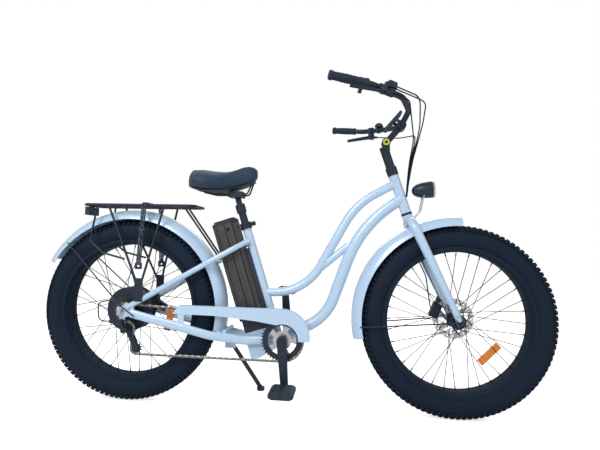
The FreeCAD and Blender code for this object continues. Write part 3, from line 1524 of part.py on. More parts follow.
def brake_levers():
    """A flat blade from its pivot to a rounded tip beside the grip, and its mirror image."""
    tip = Vector(LEVER_LENGTH, LEVER_FLARE, 0)
    blade = tapered_link(Vector(0, 0, 0), LEVER_EYE, tip, 5.5, LEVER_THICKNESS)
    blade = blade.cut(Part.makeCylinder(LEVER_PIN + N.running_clearance, 40, Vector(0, 0, -20)))
    right = feature("brake_lever_right", blade, facing(lever_pivot, lever_axis, grip_way))
    keep("brake_lever_right", right)
    keep("brake_lever_left", mirrored("brake_lever_left", right))


def throttle_paddle():
    """A thumb paddle that turns on the bar between its housing and the grip."""
    start = bar_corner_four + grip_way * 25.3
    ring = cylinder("paddle_ring", 15.5, 14, start, grip_way)
    middle = start + grip_way * 7
    inward = unit(lever_out * -0.75 - Z * 0.66)
    inward = unit(inward - grip_way * inward.dot(grip_way))
    wing = box("paddle_wing", 30, 12, 7, middle + inward * 24, grip_way.cross(inward), inward)
    hole = rod("paddle_hole", bar_radius + S.running_clearance, start - grip_way * 10, start + grip_way * 30)
    keep("throttle_paddle", cut("throttle_paddle", fuse("paddle_joined", ring, wing), hole))


DISPLAY_LENGTH = 92.0
DISPLAY_WIDTH = 62.0
DISPLAY_THICKNESS = 11.0


def display():
    """A thin panel facing the rider over the stem arm, on two arms that clip round the bar sleeve."""
    face = Vector(-arm_way.z, 0, arm_way.x)
    centre = bar_clamp + face * 36 - arm_way * 8
    panel = box("display_panel", DISPLAY_LENGTH, DISPLAY_WIDTH, DISPLAY_THICKNESS, centre, face, arm_way)
    pieces = [panel]
    for way in (-1, 1):
        root = side(bar_clamp, way * 29)
        ring = rod("display_clip", SLEEVE_RADIUS + 4, root - Y * 4, root + Y * 4)
        arm = box("display_arm", 12, 6, 34, root + face * 22, face, arm_way)
        pieces.append(ring)
        pieces.append(arm)
    joined = fuse("display_joined", *pieces)
    keep("display", cut("display", joined, sub_parts["handlebar"]))


CABLE_RADIUS = 2.5
CABLE_PITCH = 7.0
CABLE_BENDS = (40.0, 60.0, 150.0)
POD_EXITS = (29.0, 19.0)


def control_cables():
    """Four housings that loop forward from the controls and run down to the head tube as a bundle."""
    lanes = []
    perch_exit = lever_pivot - grip_way * (CABLE_END + 0.1)
    pod_exit = bar_point(POD_AT) - control_way * 17.1
    starts = [(1, perch_exit, -grip_way), (-1, perch_exit, -grip_way)]
    starts.extend((1, pod_exit + pod_up * rise, -control_way) for rise in POD_EXITS)
    clear_of_tube = N.head_tube_diameter / 2 + CABLE_RADIUS + 0.5
    for lane, (way, start, heading) in enumerate(starts):
        spread = CABLE_PITCH * (lane - 2)
        low = head_point(60, math.sqrt(clear_of_tube ** 2 - spread ** 2), spread)
        mid = head_point(175, 66 + 5 * lane, spread)
        high = head_point(262 + 19 * lane, 118 + 20 * lane, spread)
        begin = Vector(start.x, start.y * way, start.z)
        lead = Vector(heading.x, heading.y * way, heading.z)
        turn_in = begin + lead * (64 + 34 * lane)
        points = [begin, turn_in, high, mid, low]
        lanes.append(tube("cable", CABLE_RADIUS, points, CABLE_BENDS))
    keep("control_cables", group("control_cables", *lanes))


fork_body = fork()
stem_riser()
stem_arm()
handlebar()
grips()
bar_controls()
brake_levers()
throttle_paddle()
display()
control_cables()


# Fenders

FENDER_EDGE_ANGLE = 74.0
STAY_WIRE = 2.5


def fender_sheet(name, axle, crown, start, end):
    """A rounded gutter turned round the wheel axle between two angles."""
    outer = N.fender_width / 2
    inner = outer - N.fender_sheet

    def at(radius, lean):
        return Vector(crown - outer + radius * math.cos(lean), 0, radius * math.sin(lean))

    edge = math.radians(FENDER_EDGE_ANGLE)
    outline_wire = Part.Wire([
        Part.Arc(at(outer, -edge), at(outer, 0), at(outer, edge)).toShape(),
        Part.LineSegment(at(outer, edge), at(inner, edge)).toShape(),
        Part.Arc(at(inner, edge), at(inner, 0), at(inner, -edge)).toShape(),
        Part.LineSegment(at(inner, -edge), at(outer, -edge)).toShape(),
    ])
    sheet = doc.addObject("Part::Revolution", f"{name}_sheet")
    sheet.Source = feature(f"{name}_profile", Part.Face(outline_wire))
    sheet.Axis = Z
    sheet.Angle = end - start
    sheet.Placement = wheel_place(axle, start)
    return sheet


def fender_edge(axle, crown, angle, way):
    """A point just outside the lower edge of the gutter."""
    radius = N.fender_width / 2
    lean = math.radians(FENDER_EDGE_ANGLE - 8)
    reach = crown - radius + radius * math.cos(lean)
    return side(around(axle, reach, angle), way * (radius * math.sin(lean) + STAY_WIRE))


def front_fender():
    sheet_piece = fender_sheet("front_fender", front_axle, N.front_fender_radius, 88.0, 192.0)
    pieces = [sheet_piece]
    crown_centre = crown_top - steer_up * CROWN_DROP
    inward = unit(front_axle - crown_centre)
    reach = (front_axle - crown_centre).Length - N.front_fender_radius + 1.0
    bolt = rod("front_fender_bolt", 7, crown_centre, crown_centre + inward * reach)
    pieces.append(cut("front_fender_mount", bolt, fork_body, sheet_piece))
    for way in (-1, 1):
        edge = fender_edge(front_axle, N.front_fender_radius, 185.0, way)
        foot_y = way * (fork_dropout_y + N.dropout_thickness / 2 + STAY_WIRE + 0.4)
        foot = side(front_axle, foot_y) + Vector(-12, 0, 3)
        wire = rod("front_fender_wire", STAY_WIRE, edge, foot)
        pieces.append(cut("front_fender_stay", wire, sheet_piece, fork_body))
    keep("front_fender", group("front_fender", *pieces))


def rear_fender():
    sheet_piece = fender_sheet("rear_fender", rear_axle, N.rear_fender_radius, -11.0, 151.0)
    pieces = [sheet_piece]
    for way in (-1, 1):
        edge = fender_edge(rear_axle, N.rear_fender_radius, 135.0, way)
        foot_y = way * (DROPOUT_Y + N.dropout_thickness / 2 + STAY_WIRE + 0.5)
        foot = side(rear_axle, foot_y) + Vector(2, 0, 18)
        pieces.append(cut("rear_fender_stay", rod("rear_fender_wire", STAY_WIRE, edge, foot), sheet_piece))
    keep("rear_fender", group("rear_fender", *pieces))


front_fender()
rear_fender()


# Headlight on its wire bracket

LIGHT_TILT = math.radians(6)
light_way = Vector(math.cos(LIGHT_TILT), 0, math.sin(LIGHT_TILT))
light_back = head_point(75, 48)
LIGHT_RADIUS = 33.0
LIGHT_LENGTH = 86.0
LENS_RADIUS = 29.0


def headlight():
    """A bullet-shaped shell with a bezel, carried by two bent wires from the fork crown."""
    seat = LENS_RADIUS + 0.3
    corners = [(0, 0), (9, 1.5), (18, 8), (25, 20), (30, 38), (32, 54), (LIGHT_RADIUS, 70),
               (LIGHT_RADIUS, LIGHT_LENGTH), (seat, LIGHT_LENGTH), (seat, LIGHT_LENGTH - 6),
               (26, LIGHT_LENGTH - 7), (10, LIGHT_LENGTH - 34), (0, LIGHT_LENGTH - 36)]
    shell = turned("headlight_shell", corners, light_back, light_way)
    pieces = [shell]
    crown_centre = crown_top - steer_up * CROWN_DROP
    for way in (-1, 1):
        foot = side(crown_centre + steer_forward * (N.fork_blade_radius + 1), way * 14)
        knee = side(crown_centre + steer_forward * 52 + steer_up * 20, way * 20)
        top = side(light_back + light_way * 46 - Z * 20, way * 20)
        wire = tube("headlight_wire", STAY_WIRE, [foot, knee, top], (14.0,))
        pieces.append(cut("headlight_bracket", wire, shell, fork_body))
    dome = [(0, 0), (LENS_RADIUS, 0), (LENS_RADIUS, 4), (LENS_RADIUS * 0.7, 7), (0, 8.5)]
    pieces.append(turned("headlight_lens", dome, light_back + light_way * (LIGHT_LENGTH - 5.7), light_way))
    keep("headlight", group("headlight", *pieces))


headlight()


# Brake calipers

CALIPER_WIDTH = 30.0


def caliper(name, axle, offset, angle, reach):
    """A caliper straddling its rotor: a bevelled block slotted for the disc, with a piston cap."""
    centre = side(around(axle, reach, angle), offset)
    radial = unit(centre - side(axle, offset))
    along = Y.cross(radial)
    block = box(f"{name}_block", 34, CALIPER_WIDTH, 56, centre, along, radial)
    cap = cylinder(f"{name}_cap", 12, 5, centre + Y * (CALIPER_WIDTH / 2), Y)
    joined = fuse(f"{name}_joined", block, cap)
    room = box(f"{name}_slot", 60, S.rotor_thickness + 2.4, 90, centre - radial * 12, along, radial)
    return cut(f"{name}_body", joined, room), centre, radial, along


def front_brake_caliper():
    body, centre, radial, along = caliper("front_caliper", front_axle, ROTOR_OFFSET_FRONT, 157.0, 76.0)
    blade_side = side(front_axle - blade_way * 92, N.fork_spread)
    across = blade_side - centre
    bracket_bar = box("front_caliper_bracket", across.Length, 12, 30, (centre + blade_side) * 0.5,
                      Y.cross(unit(across)), across)
    disc_room = cylinder("front_disc_room", S.rotor_radius + 1.5, S.rotor_thickness + 2.4,
                         side(front_axle, ROTOR_OFFSET_FRONT - N.rotor_thickness / 2 - 1.2), Y)
    fused = fuse("front_caliper_fused", body, bracket_bar)
    mounted = cut("front_caliper_mounted", fused, fork_body, disc_room)
    shoulder = side(crown_top - steer_up * SHOULDER_DROP, N.fork_spread - 8)
    top = shoulder - steer_forward * (N.fork_blade_radius + 3.5)
    clip_low = side(front_axle - blade_way * 190, N.fork_spread - 8) - steer_forward * 22
    hose_route = [top + blade_way * 20, clip_low, centre + radial * 20 + Z * 3]
    hose = tube("front_hose", CABLE_RADIUS, hose_route, (60.0,))
    hose_cut = cut("front_brake_hose", hose, mounted, fork_body)
    keep("front_brake_caliper", group("front_brake_caliper", mounted, hose_cut))


def rear_brake_caliper():
    body, centre, radial, along = caliper("rear_caliper", rear_axle, ROTOR_OFFSET_REAR, 20.0, 76.0)
    target = side(rear_axle, STAY_Y - 12) + Vector(112, 0, -8)
    bracket_bar = box("rear_caliper_bracket", (target - centre).Length, 12, 30, (centre + target) * 0.5,
                      Y.cross(unit(target - centre)), target - centre)
    disc_room = cylinder("rear_disc_room", S.rotor_radius + 1.5, S.rotor_thickness + 2.4,
                         side(rear_axle, ROTOR_OFFSET_REAR - N.rotor_thickness / 2 - 1.2), Y)
    stays = sub_parts["chainstays"]
    mounted = cut("rear_caliper_mounted", fuse("rear_caliper_fused", body, bracket_bar), stays,
                  sub_parts["seatstays"], disc_room)
    keep("rear_brake_caliper", mounted)


front_brake_caliper()
rear_brake_caliper()


# Seat post and saddle

post_top = N.seat_tube_length + N.seat_post_rise
POST_FOOT = 320.0
COLLAR_RADIUS = 20.0
HEAD_AT = 122.0
saddle_clamp = seat_point(N.seat_tube_length + HEAD_AT)
RAIL_RADIUS = 3.5
RAIL_Y = 22.0


def seat_post():
    """The height-set post with the collar that guides the suspension shaft."""
    tube_piece = cylinder("post_tube", S.seat_post_diameter / 2, post_top - POST_FOOT, seat_point(POST_FOOT),
                          seat_up)
    collar = cylinder("post_collar", COLLAR_RADIUS, 34, seat_point(post_top - 30), seat_up)
    hole = cylinder("post_hole", S.suspension_shaft_diameter / 2 + S.running_clearance, 200,
                    seat_point(post_top - 130), seat_up)
    keep("seat_post", cut("seat_post", fuse("post_joined", tube_piece, collar), hole))


def seat_post_head():
    """The sprung shaft and the clamp that grips the saddle rails."""
    shaft_low = seat_point(post_top - 90)
    shaft = rod("head_shaft", S.suspension_shaft_diameter / 2, shaft_low, saddle_clamp)
    block = box("head_block", 58, 60, 24, saddle_clamp)
    joined = fuse("head_joined", shaft, block)
    rooms = [rod("rail_room", RAIL_RADIUS, saddle_clamp + Vector(-60, way * RAIL_Y, 0),
                 saddle_clamp + Vector(60, way * RAIL_Y, 0)) for way in (-1, 1)]
    keep("seat_post_head", cut("seat_post_head", joined, *rooms))


# Each saddle station: place ahead of the clamp, half width, underside and top above the clamp
SADDLE_STATIONS = ((-194, 40, 40, 74), (-180, 82, 30, 90), (-154, 112, 20, 103), (-108, 122, 13, 101),
                   (-58, 102, 15, 96), (-8, 64, 26, 104), (40, 42, 40, 120), (76, 26, 58, 114),
                   (88, 12, 74, 102))


def saddle_section(station):
    """One closed cross-section of the saddle: flat underside, rounded sides and a crowned top."""
    along, half, bottom, crest = station
    shoulder = bottom + (crest - bottom) * 0.62
    x = saddle_clamp.x + along
    z = saddle_clamp.z

    def at(y, height):
        return Vector(x, y, z + height)

    left, right = at(half * 0.9, bottom), at(-half * 0.9, bottom)
    upper_left, upper_right = at(half * 0.86, shoulder), at(-half * 0.86, shoulder)
    return Part.Wire([
        Part.LineSegment(right, left).toShape(),
        Part.Arc(left, at(half, (bottom + shoulder) / 2), upper_left).toShape(),
        Part.Arc(upper_left, at(0, crest), upper_right).toShape(),
        Part.Arc(upper_right, at(-half, (bottom + shoulder) / 2), right).toShape(),
    ])


PAN_THICKNESS = 5.0
PAN_GAP = 0.8


def saddle_pan_section(station):
    along, half, under = station[:3]
    wide = half * 0.72
    x, z = saddle_clamp.x + along, saddle_clamp.z + under
    corners = [Vector(x, -wide, z - PAN_THICKNESS), Vector(x, wide, z - PAN_THICKNESS),
               Vector(x, wide, z - PAN_GAP), Vector(x, -wide, z - PAN_GAP)]
    return Part.makePolygon(corners + corners[:1])


def saddle():
    """The cushion, and under it the pan with its two steel rails."""
    cushion = Part.makeLoft([saddle_section(station) for station in SADDLE_STATIONS], True)
    keep("saddle_cushion", feature("saddle_cushion", cushion))
    pan_shape = Part.makeLoft([saddle_pan_section(station) for station in SADDLE_STATIONS[1:-1]], True)
    pan = feature("saddle_pan", pan_shape)
    rails = []
    for way in (-1, 1):
        points = [saddle_clamp + Vector(-150, way * 34, 13.5), saddle_clamp + Vector(-92, way * RAIL_Y, 0),
                  saddle_clamp + Vector(48, way * RAIL_Y, 0), saddle_clamp + Vector(66, way * 14, 47)]
        rails.append(cut("saddle_rail", tube("rail_wire", RAIL_RADIUS, points, (26.0, 16.0)), pan))
    keep("saddle_frame", group("saddle_frame", pan, *rails))


seat_post()
seat_post_head()
saddle()


# Rear rack, tail light and straps

DECK_REAR = rear_axle.x - 196
DECK_FRONT = rear_axle.x + 276
DECK_BARS = (-63, 57, 177)
LEG_TOPS = (-85, 152)
LEG_SPLAY = 0.06
rack_half = N.rack_width / 2
rack_radius = S.rack_tube / 2


def rear_rack():
    """A welded deck with legs to the seatstays, side loops and two front struts."""
    height = N.rack_height
    corners = [Vector(DECK_FRONT, 0, height), Vector(DECK_FRONT, -rack_half, height),
               Vector(DECK_REAR, -rack_half, height), Vector(DECK_REAR, 0, height)]
    half = tube("deck_half", rack_radius, corners, (28.0, 28.0))
    pieces = [half, mirrored("deck_other_half", half)]
    for y in (-24, 24):
        pieces.append(rod("deck_rod", 4, Vector(DECK_FRONT, y, height), Vector(DECK_REAR, y, height)))
    for ahead in DECK_BARS:
        x = rear_axle.x + ahead
        pieces.append(rod("deck_bar", 4, Vector(x, -rack_half, height), Vector(x, rack_half, height)))
    deck = fuse("rack_deck", *pieces)
    solids = [deck]
    for way in (-1, 1):
        foot = rear_axle + Vector(72, way * 98, 82)
        plate = box("rack_foot", 34, 4, 92, foot + Vector(0, way * 3, 6))
        foot_plate = cut("rack_foot_plate", plate, sub_parts["seatstays"])
        for ahead in LEG_TOPS:
            leg_top = Vector(rear_axle.x + ahead, way * rack_half, height)
            leg_foot = foot + Vector((ahead - 37) * LEG_SPLAY, 0, 26)
            leg = rod("rack_leg_bar", 4.5, leg_top, leg_foot)
            solids.append(cut("rack_leg", leg, deck, foot_plate))
        loop_points = [Vector(rear_axle.x - 133, way * rack_half, height - 4),
                       rear_axle + Vector(-149, way * 84, 278),
                       rear_axle + Vector(-88, way * 90, 230), rear_axle + Vector(5, way * 94, 208)]
        loop = tube("rack_loop_bar", 4, loop_points, (30.0, 30.0))
        solids.append(cut("rack_loop", loop, deck, *solids[-2:]))
        solids.append(foot_plate)
        bridge_top = around(rear_axle, N.rear_fender_radius + 2 * BRIDGE_RADIUS + 5, SEAT_BRIDGE_ANGLE)
        bridge_end = side(bridge_top, way * 20)
        strut = rod("rack_strut_bar", 4, Vector(rear_axle.x + 217, way * 24, height), bridge_end)
        solids.append(cut("rack_strut", strut, deck, sub_parts["seatstays"]))
    keep("rear_rack", group("rear_rack", *solids))
    return deck


def tail_light():
    centre = Vector(DECK_REAR - 2, 0, N.rack_height - 24)
    body = box("tail_body", 18, 74, 34, centre)
    tab = box("tail_tab", 6, 26, 20, centre + Vector(0, 0, 22))
    keep("tail_light", cut("tail_light", fuse("tail_joined", body, tab), rack_deck))


STRAP_RADIUS = 3.0
STRAP_PITCH = 7.0
STRAP_Y = 107.0
strap_place = rear_axle + X * 71


def bungee_straps():
    """Three parallel elastic cords over the deck, with an end block on each side."""
    pieces = []
    top = N.rack_height + N.rack_tube / 2 + STRAP_RADIUS + 0.3
    out = rack_half + N.rack_tube / 2 + STRAP_RADIUS + 0.3
    for lane in (-1, 0, 1):
        x = strap_place.x + lane * STRAP_PITCH
        low = strap_place.z + 196
        points = [Vector(x, -STRAP_Y, low), Vector(x, -out, top), Vector(x, out, top),
                  Vector(x, STRAP_Y, low)]
        pieces.append(tube("strap", STRAP_RADIUS, points, (9.0, 9.0)))
    for way in (-1, 1):
        pieces.append(box("strap_block", 28, 12, 26, side(strap_place, way * STRAP_Y) + Z * 182.7))
    keep("bungee_straps", group("bungee_straps", *pieces))


rack_deck = rear_rack()
tail_light()
bungee_straps()


# Kickstand and wheel reflectors

STAND_PIVOT = STAND_PLATE + Vector(0, 6.3, -6)
# Upright on the flat crowns of its tyres, the foot is just off the floor and takes the load when it leans
STAND_LIFT = 1.0
STAND_FOOT = Vector(-138, 188, STAND_LIFT)


def kickstand():
    """A leg with a pivot eye against the frame plate and a flat rubber foot on the floor."""
    eye = cylinder("stand_eye", 15, 16, STAND_PIVOT, Y)
    top = STAND_PIVOT + Y * 8
    ankle = STAND_FOOT + Z * 10
    leg = rod("stand_leg", S.stand_tube / 2, top, ankle)
    foot = cylinder("stand_foot", 17, 14, STAND_FOOT, Z)
    floor = box("stand_floor", 200, 200, 60, STAND_FOOT - Z * 30)
    inside = box("stand_inside", 200, 100, 200, STAND_PIVOT - Y * 50)
    keep("kickstand", cut("kickstand", fuse("stand_joined", eye, leg, foot), floor, inside))


kickstand()
reflector("front_reflector", front_axle, -45.0)
reflector("rear_reflector", rear_axle, -12.0)


# Write the sub-parts

doc.recompute()
for name, piece in sub_parts.items():
    faults = [state for state in piece.State if state in ("Invalid", "Error")]
    if faults or piece.Shape.isNull() or not piece.Shape.isValid():
        raise RuntimeError(f"{name} did not build: {piece.State}")
    piece.Shape.exportStep(f"parts/{name}.step")
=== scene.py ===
"""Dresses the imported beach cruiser: tyres, chain, saddle cover, cables, luggage cords, finishes, studio."""

import json
import math

import bpy
from bpy.props import FloatProperty, FloatVectorProperty, IntProperty, PointerProperty
from mathutils import Matrix, Vector

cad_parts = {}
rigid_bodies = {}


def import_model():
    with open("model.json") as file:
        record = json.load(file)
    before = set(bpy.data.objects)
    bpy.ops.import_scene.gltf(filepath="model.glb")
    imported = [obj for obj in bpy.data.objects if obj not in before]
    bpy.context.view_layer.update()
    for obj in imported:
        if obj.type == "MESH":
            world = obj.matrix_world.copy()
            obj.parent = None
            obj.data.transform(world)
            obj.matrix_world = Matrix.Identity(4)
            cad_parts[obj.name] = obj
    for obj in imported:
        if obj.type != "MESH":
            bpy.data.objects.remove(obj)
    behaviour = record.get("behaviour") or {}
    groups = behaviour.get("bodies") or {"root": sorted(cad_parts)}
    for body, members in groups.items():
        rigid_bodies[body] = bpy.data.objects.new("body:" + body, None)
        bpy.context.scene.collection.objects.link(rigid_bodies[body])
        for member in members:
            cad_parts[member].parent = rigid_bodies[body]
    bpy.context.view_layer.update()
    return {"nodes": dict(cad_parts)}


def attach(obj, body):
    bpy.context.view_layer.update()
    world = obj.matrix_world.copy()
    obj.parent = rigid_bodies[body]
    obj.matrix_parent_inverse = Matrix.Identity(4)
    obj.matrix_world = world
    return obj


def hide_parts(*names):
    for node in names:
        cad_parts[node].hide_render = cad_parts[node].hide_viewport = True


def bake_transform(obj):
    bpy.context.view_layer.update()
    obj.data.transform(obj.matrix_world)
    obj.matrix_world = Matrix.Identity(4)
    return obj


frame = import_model()

bl_info = {
    "name": "Beach cruiser dressing",
    "version": (1, 0, 0),
    "blender": (4, 5, 0),
    "location": "3D View > Sidebar > Cruiser",
    "description": "Tyres, chain, saddle cover, cords and finishes for a packed beach cruiser bicycle",
    "category": "Object",
}

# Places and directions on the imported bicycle, in metres and radians; its right side is at negative y
REAR_AXLE = Vector((-0.657, 0.0, 0.370))
FRONT_AXLE = Vector((0.657, 0.0, 0.370))
SEAT_TUBE_LEAN = math.radians(18.4)
BATTERY_LOCK = Vector((-0.2487, -0.036, 0.7053))
STEM_PIVOT = Vector((0.379514, 0.0, 1.066485))
LAMP_BACK = Vector((0.482987, 0.0, 0.872737))
LAMP_WAY = Vector((math.cos(math.radians(6)), 0.0, math.sin(math.radians(6))))
LAMP_BRACKET_TOP = 0.84
SADDLE_CLAMP = Vector((-0.2254, 0.0, 0.8503))
CHAINRING = Vector((-0.011, 0.0, 0.281))
DISPLAY_FACE = Vector((-0.76, 0.0, 0.65))


# Sizes and colours that a user would change

class TreadSizes(bpy.types.PropertyGroup):
    """Sizes of the tyre and its tread blocks."""

    ring_radius: FloatProperty(name="Ring radius", default=0.316, unit="LENGTH",
                               description="Wheel centre to the middle of the tyre's section")
    section_radius: FloatProperty(name="Section radius", description="Radius of the tyre's casing",
                                  default=0.0488, unit="LENGTH")
    bead_radius: FloatProperty(name="Bead radius", description="Radius at which the casing meets the rim",
                               default=0.2836, unit="LENGTH")
    pitches: IntProperty(name="Pitches", description="Tread blocks in each row", default=104, min=8)
    crown_height: FloatProperty(name="Crown height", default=0.0047, unit="LENGTH",
                                description="How far the middle blocks stand out of the casing")
    side_height: FloatProperty(name="Side height", default=0.0070, unit="LENGTH",
                               description="How far the outer blocks stand out of the casing")
    block_length: FloatProperty(name="Block length", description="Length of a block round the tyre",
                                default=0.0125, unit="LENGTH")


class BicycleColours(bpy.types.PropertyGroup):
    """Base colours of the bicycle's main finishes."""

    paint: FloatVectorProperty(name="Frame paint", description="Gloss paint on the frame, fork and fenders",
                               subtype="COLOR", size=4, default=(0.48, 0.65, 0.84, 1.0))
    rubber: FloatVectorProperty(name="Tyre rubber", description="Tyre casing and tread",
                                subtype="COLOR", size=4, default=(0.0036, 0.0105, 0.0245, 1.0))
    black: FloatVectorProperty(name="Black parts", description="Satin black metal", subtype="COLOR", size=4,
                               default=(0.0085, 0.0185, 0.0350, 1.0))
    battery: FloatVectorProperty(name="Battery case", description="Anodised battery case",
                                 subtype="COLOR", size=4, default=(0.074, 0.068, 0.070, 1.0))
    saddle: FloatVectorProperty(name="Saddle cover", description="Soft saddle cover", subtype="COLOR", size=4,
                                default=(0.0070, 0.0290, 0.0640, 1.0))


class StageSizes(bpy.types.PropertyGroup):
    """The viewpoint and the room."""

    lens: FloatProperty(name="Lens", description="Focal length on a 36 mm wide film", default=25.56,
                        unit="CAMERA")
    yaw: FloatProperty(name="Yaw", description="Turn of the camera to its left", default=math.radians(5.766),
                       subtype="ANGLE")
    pitch: FloatProperty(name="Pitch", description="Upward tilt of the camera", default=math.radians(2.819),
                         subtype="ANGLE")
    roll: FloatProperty(name="Roll", description="Clockwise roll of the camera", default=math.radians(1.321),
                        subtype="ANGLE")


# Working with objects

def deselect():
    bpy.ops.object.select_all(action="DESELECT")


def pick(*objects):
    """Selects these objects only and makes the first one active."""
    deselect()
    for item in objects:
        item.select_set(True)
    bpy.context.view_layer.objects.active = objects[0]


def settle(piece):
    """Writes an object's place, turn and scale into its mesh."""
    pick(piece)
    bpy.ops.object.transform_apply(location=True, rotation=True, scale=True)
    return piece


def apply(piece, kind, **settings):
    """Adds a modifier with these settings and applies it."""
    pick(piece)
    modifier = piece.modifiers.new(kind.title(), kind)
    for key, value in settings.items():
        setattr(modifier, key, value)
    bpy.ops.object.modifier_apply(modifier=modifier.name)
    return piece


def join(name, *pieces):
    pick(*pieces)
    bpy.ops.object.join()
    pieces[0].name = name
    return pieces[0]


def remove(piece):
    bpy.data.objects.remove(piece, do_unlink=True)


def twin(piece, name):
    """A copy of a piece with a mesh of its own."""
    copy = piece.copy()
    copy.data = piece.data.copy()
    copy.name = name
    bpy.context.scene.collection.objects.link(copy)
    return copy


def skin_of(node, name, merge):
    """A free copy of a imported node's mesh, its seams closed within a small distance."""
    skin = twin(frame["nodes"][node], name)
    skin.parent = None
    for key in list(skin.keys()):
        del skin[key]
    pick(skin)
    bpy.ops.object.mode_set(mode="EDIT")
    bpy.ops.mesh.select_mode(type="VERT")
    bpy.ops.mesh.select_all(action="SELECT")
    bpy.ops.mesh.remove_doubles(threshold=merge)
    bpy.ops.mesh.select_all(action="DESELECT")
    bpy.ops.object.mode_set(mode="OBJECT")
    return skin


def flat_distance(spot, centre):
    """Distance of a spot from the line across the bicycle through a centre."""
    return Vector((spot.x - centre.x, spot.z - centre.z)).length


def smooth(piece, degrees=35):
    pick(piece)
    bpy.ops.object.shade_smooth_by_angle(angle=math.radians(degrees))
    return piece


def cord_tube(name, points, diameter):
    """A round cord along a smooth curve through its route, and the points that it follows."""
    curve = bpy.data.curves.new(name, "CURVE")
    curve.dimensions = "3D"
    curve.resolution_u = 10
    line = curve.splines.new("NURBS")
    line.points.add(len(points) - 1)
    for spot, place in zip(line.points, points):
        spot.co = (*place, 1.0)
    line.order_u = 3
    line.use_endpoint_u = True
    cord = bpy.data.objects.new(name, curve)
    bpy.context.scene.collection.objects.link(cord)
    drawn = bpy.data.meshes.new_from_object(cord)
    path = [tuple(vertex.co) for vertex in drawn.vertices]
    bpy.data.meshes.remove(drawn)
    curve.bevel_depth = diameter / 2
    curve.bevel_resolution = 3
    curve.use_fill_caps = True
    pick(cord)
    bpy.ops.object.convert(target="MESH")
    return smooth(bpy.context.object, 60), path


# Shader sums

class Wire:
    """A shader value that takes part in plain sums."""

    def __init__(self, finish, socket):
        self.finish = finish
        self.socket = socket

    def math(self, operation, first, second):
        return self.finish.node("ShaderNodeMath", {"operation": operation}, {0: first, 1: second})

    def __add__(self, other):
        return self.math("ADD", self, other)

    __radd__ = __add__

    def __sub__(self, other):
        return self.math("SUBTRACT", self, other)

    def __rsub__(self, other):
        return self.math("SUBTRACT", other, self)

    def __mul__(self, other):
        return self.math("MULTIPLY", self, other)

    def __gt__(self, other):
        return self.math("GREATER_THAN", self, other)

    def __lt__(self, other):
        return self.math("LESS_THAN", self, other)


class Finish:
    """A material with its shader and the few nodes that finishes are made from."""

    def __init__(self, name, **constants):
        self.material = bpy.data.materials.new(name)
        self.material.use_nodes = True
        self.tree = self.material.node_tree
        self.surface = self.tree.nodes["Principled BSDF"]
        self.drive(**constants)
        self.place = Wire(self, self.tree.nodes.new("ShaderNodeTexCoord").outputs["Object"])

    def node(self, kind, settings=None, values=None, out=0):
        made = self.tree.nodes.new(kind)
        for key, value in (settings or {}).items():
            setattr(made, key, value)
        for key, value in (values or {}).items():
            self.feed(made.inputs[key], value)
        return Wire(self, made.outputs[out])

    def feed(self, socket, value):
        if isinstance(value, Wire):
            self.tree.links.new(value.socket, socket)
        else:
            socket.default_value = value

    def drive(self, **inputs):
        for key, value in inputs.items():
            self.feed(self.surface.inputs[key.replace("_", " ").title().replace("Ior", "IOR")], value)
        return self

    def noise(self, scale, detail=2.0, place=None):
        return self.node("ShaderNodeTexNoise", None,
                         {"Vector": place or self.place, "Scale": scale, "Detail": detail}, "Fac")

    def cells(self, scale, feature="F1"):
        return self.node("ShaderNodeTexVoronoi", {"feature": feature},
                         {"Vector": self.place, "Scale": scale}, "Distance")

    def moved(self, location=(0, 0, 0), rotation=(0, 0, 0), scale=(1, 1, 1), place=None):
        return self.node("ShaderNodeMapping", None, {"Vector": place or self.place, "Location": location,
                                                     "Rotation": rotation, "Scale": scale})

    def part(self, place, axis):
        return self.node("ShaderNodeSeparateXYZ", None, {0: place}, axis)

    def far_from(self, centre):
        """Distance from a line across the bicycle through a wheel or crank centre."""
        flat = self.node("ShaderNodeVectorMath", {"operation": "MULTIPLY"}, {0: self.place, 1: (1, 0, 1)})
        return self.node("ShaderNodeVectorMath", {"operation": "DISTANCE"},
                         {0: flat, 1: (centre.x, 0, centre.z)}, "Value")

    def far_from_axle(self):
        """Distance from the nearer wheel's axle."""
        rear, front = self.far_from(REAR_AXLE), self.far_from(FRONT_AXLE)
        return self.node("ShaderNodeMath", {"operation": "MINIMUM"}, {0: rear, 1: front})

    def wave(self, value, waves):
        return self.node("ShaderNodeMath", {"operation": "SINE"}, {0: value * (waves * math.tau)}) * 0.5 + 0.5

    def mix(self, factor, first, second):
        return self.node("ShaderNodeMix", {"data_type": "RGBA"}, {0: factor, 6: first, 7: second}, 2)

    def span(self, value, low, high):
        return self.node("ShaderNodeMapRange", None, {0: value, 1: low, 2: high})

    def bump(self, height, distance):
        raised = self.node("ShaderNodeBump", None, {"Height": height, "Distance": distance})
        return self.drive(normal=raised)


def shade(colour, share):
    """A darker or lighter copy of a colour."""
    return (colour[0] * share, colour[1] * share, colour[2] * share, 1.0)


# Finishes

def paint_finish(colours):
    """Gloss paint under clear lacquer, with a faint orange-peel surface and dust low down."""
    finish = Finish("frame_paint", coat_roughness=0.22, coat_ior=1.45)
    colour = tuple(colours.paint)
    drift = finish.noise(3.0, 3.0)
    height = finish.part(finish.place, "Z")
    dust = finish.span(height, 0.45, 0.20) * finish.span(finish.noise(18.0, 6.0), 0.45, 0.75)
    tone = finish.mix(drift, shade(colour, 0.95), shade(colour, 1.04))
    finish.drive(base_color=finish.mix(dust * 0.12, tone, (0.42, 0.40, 0.37, 1.0)))
    finish.drive(roughness=0.24 + dust * 0.2, coat_weight=0.7 - dust * 0.4)
    return finish.bump(finish.noise(260.0, 1.0), 0.00003)


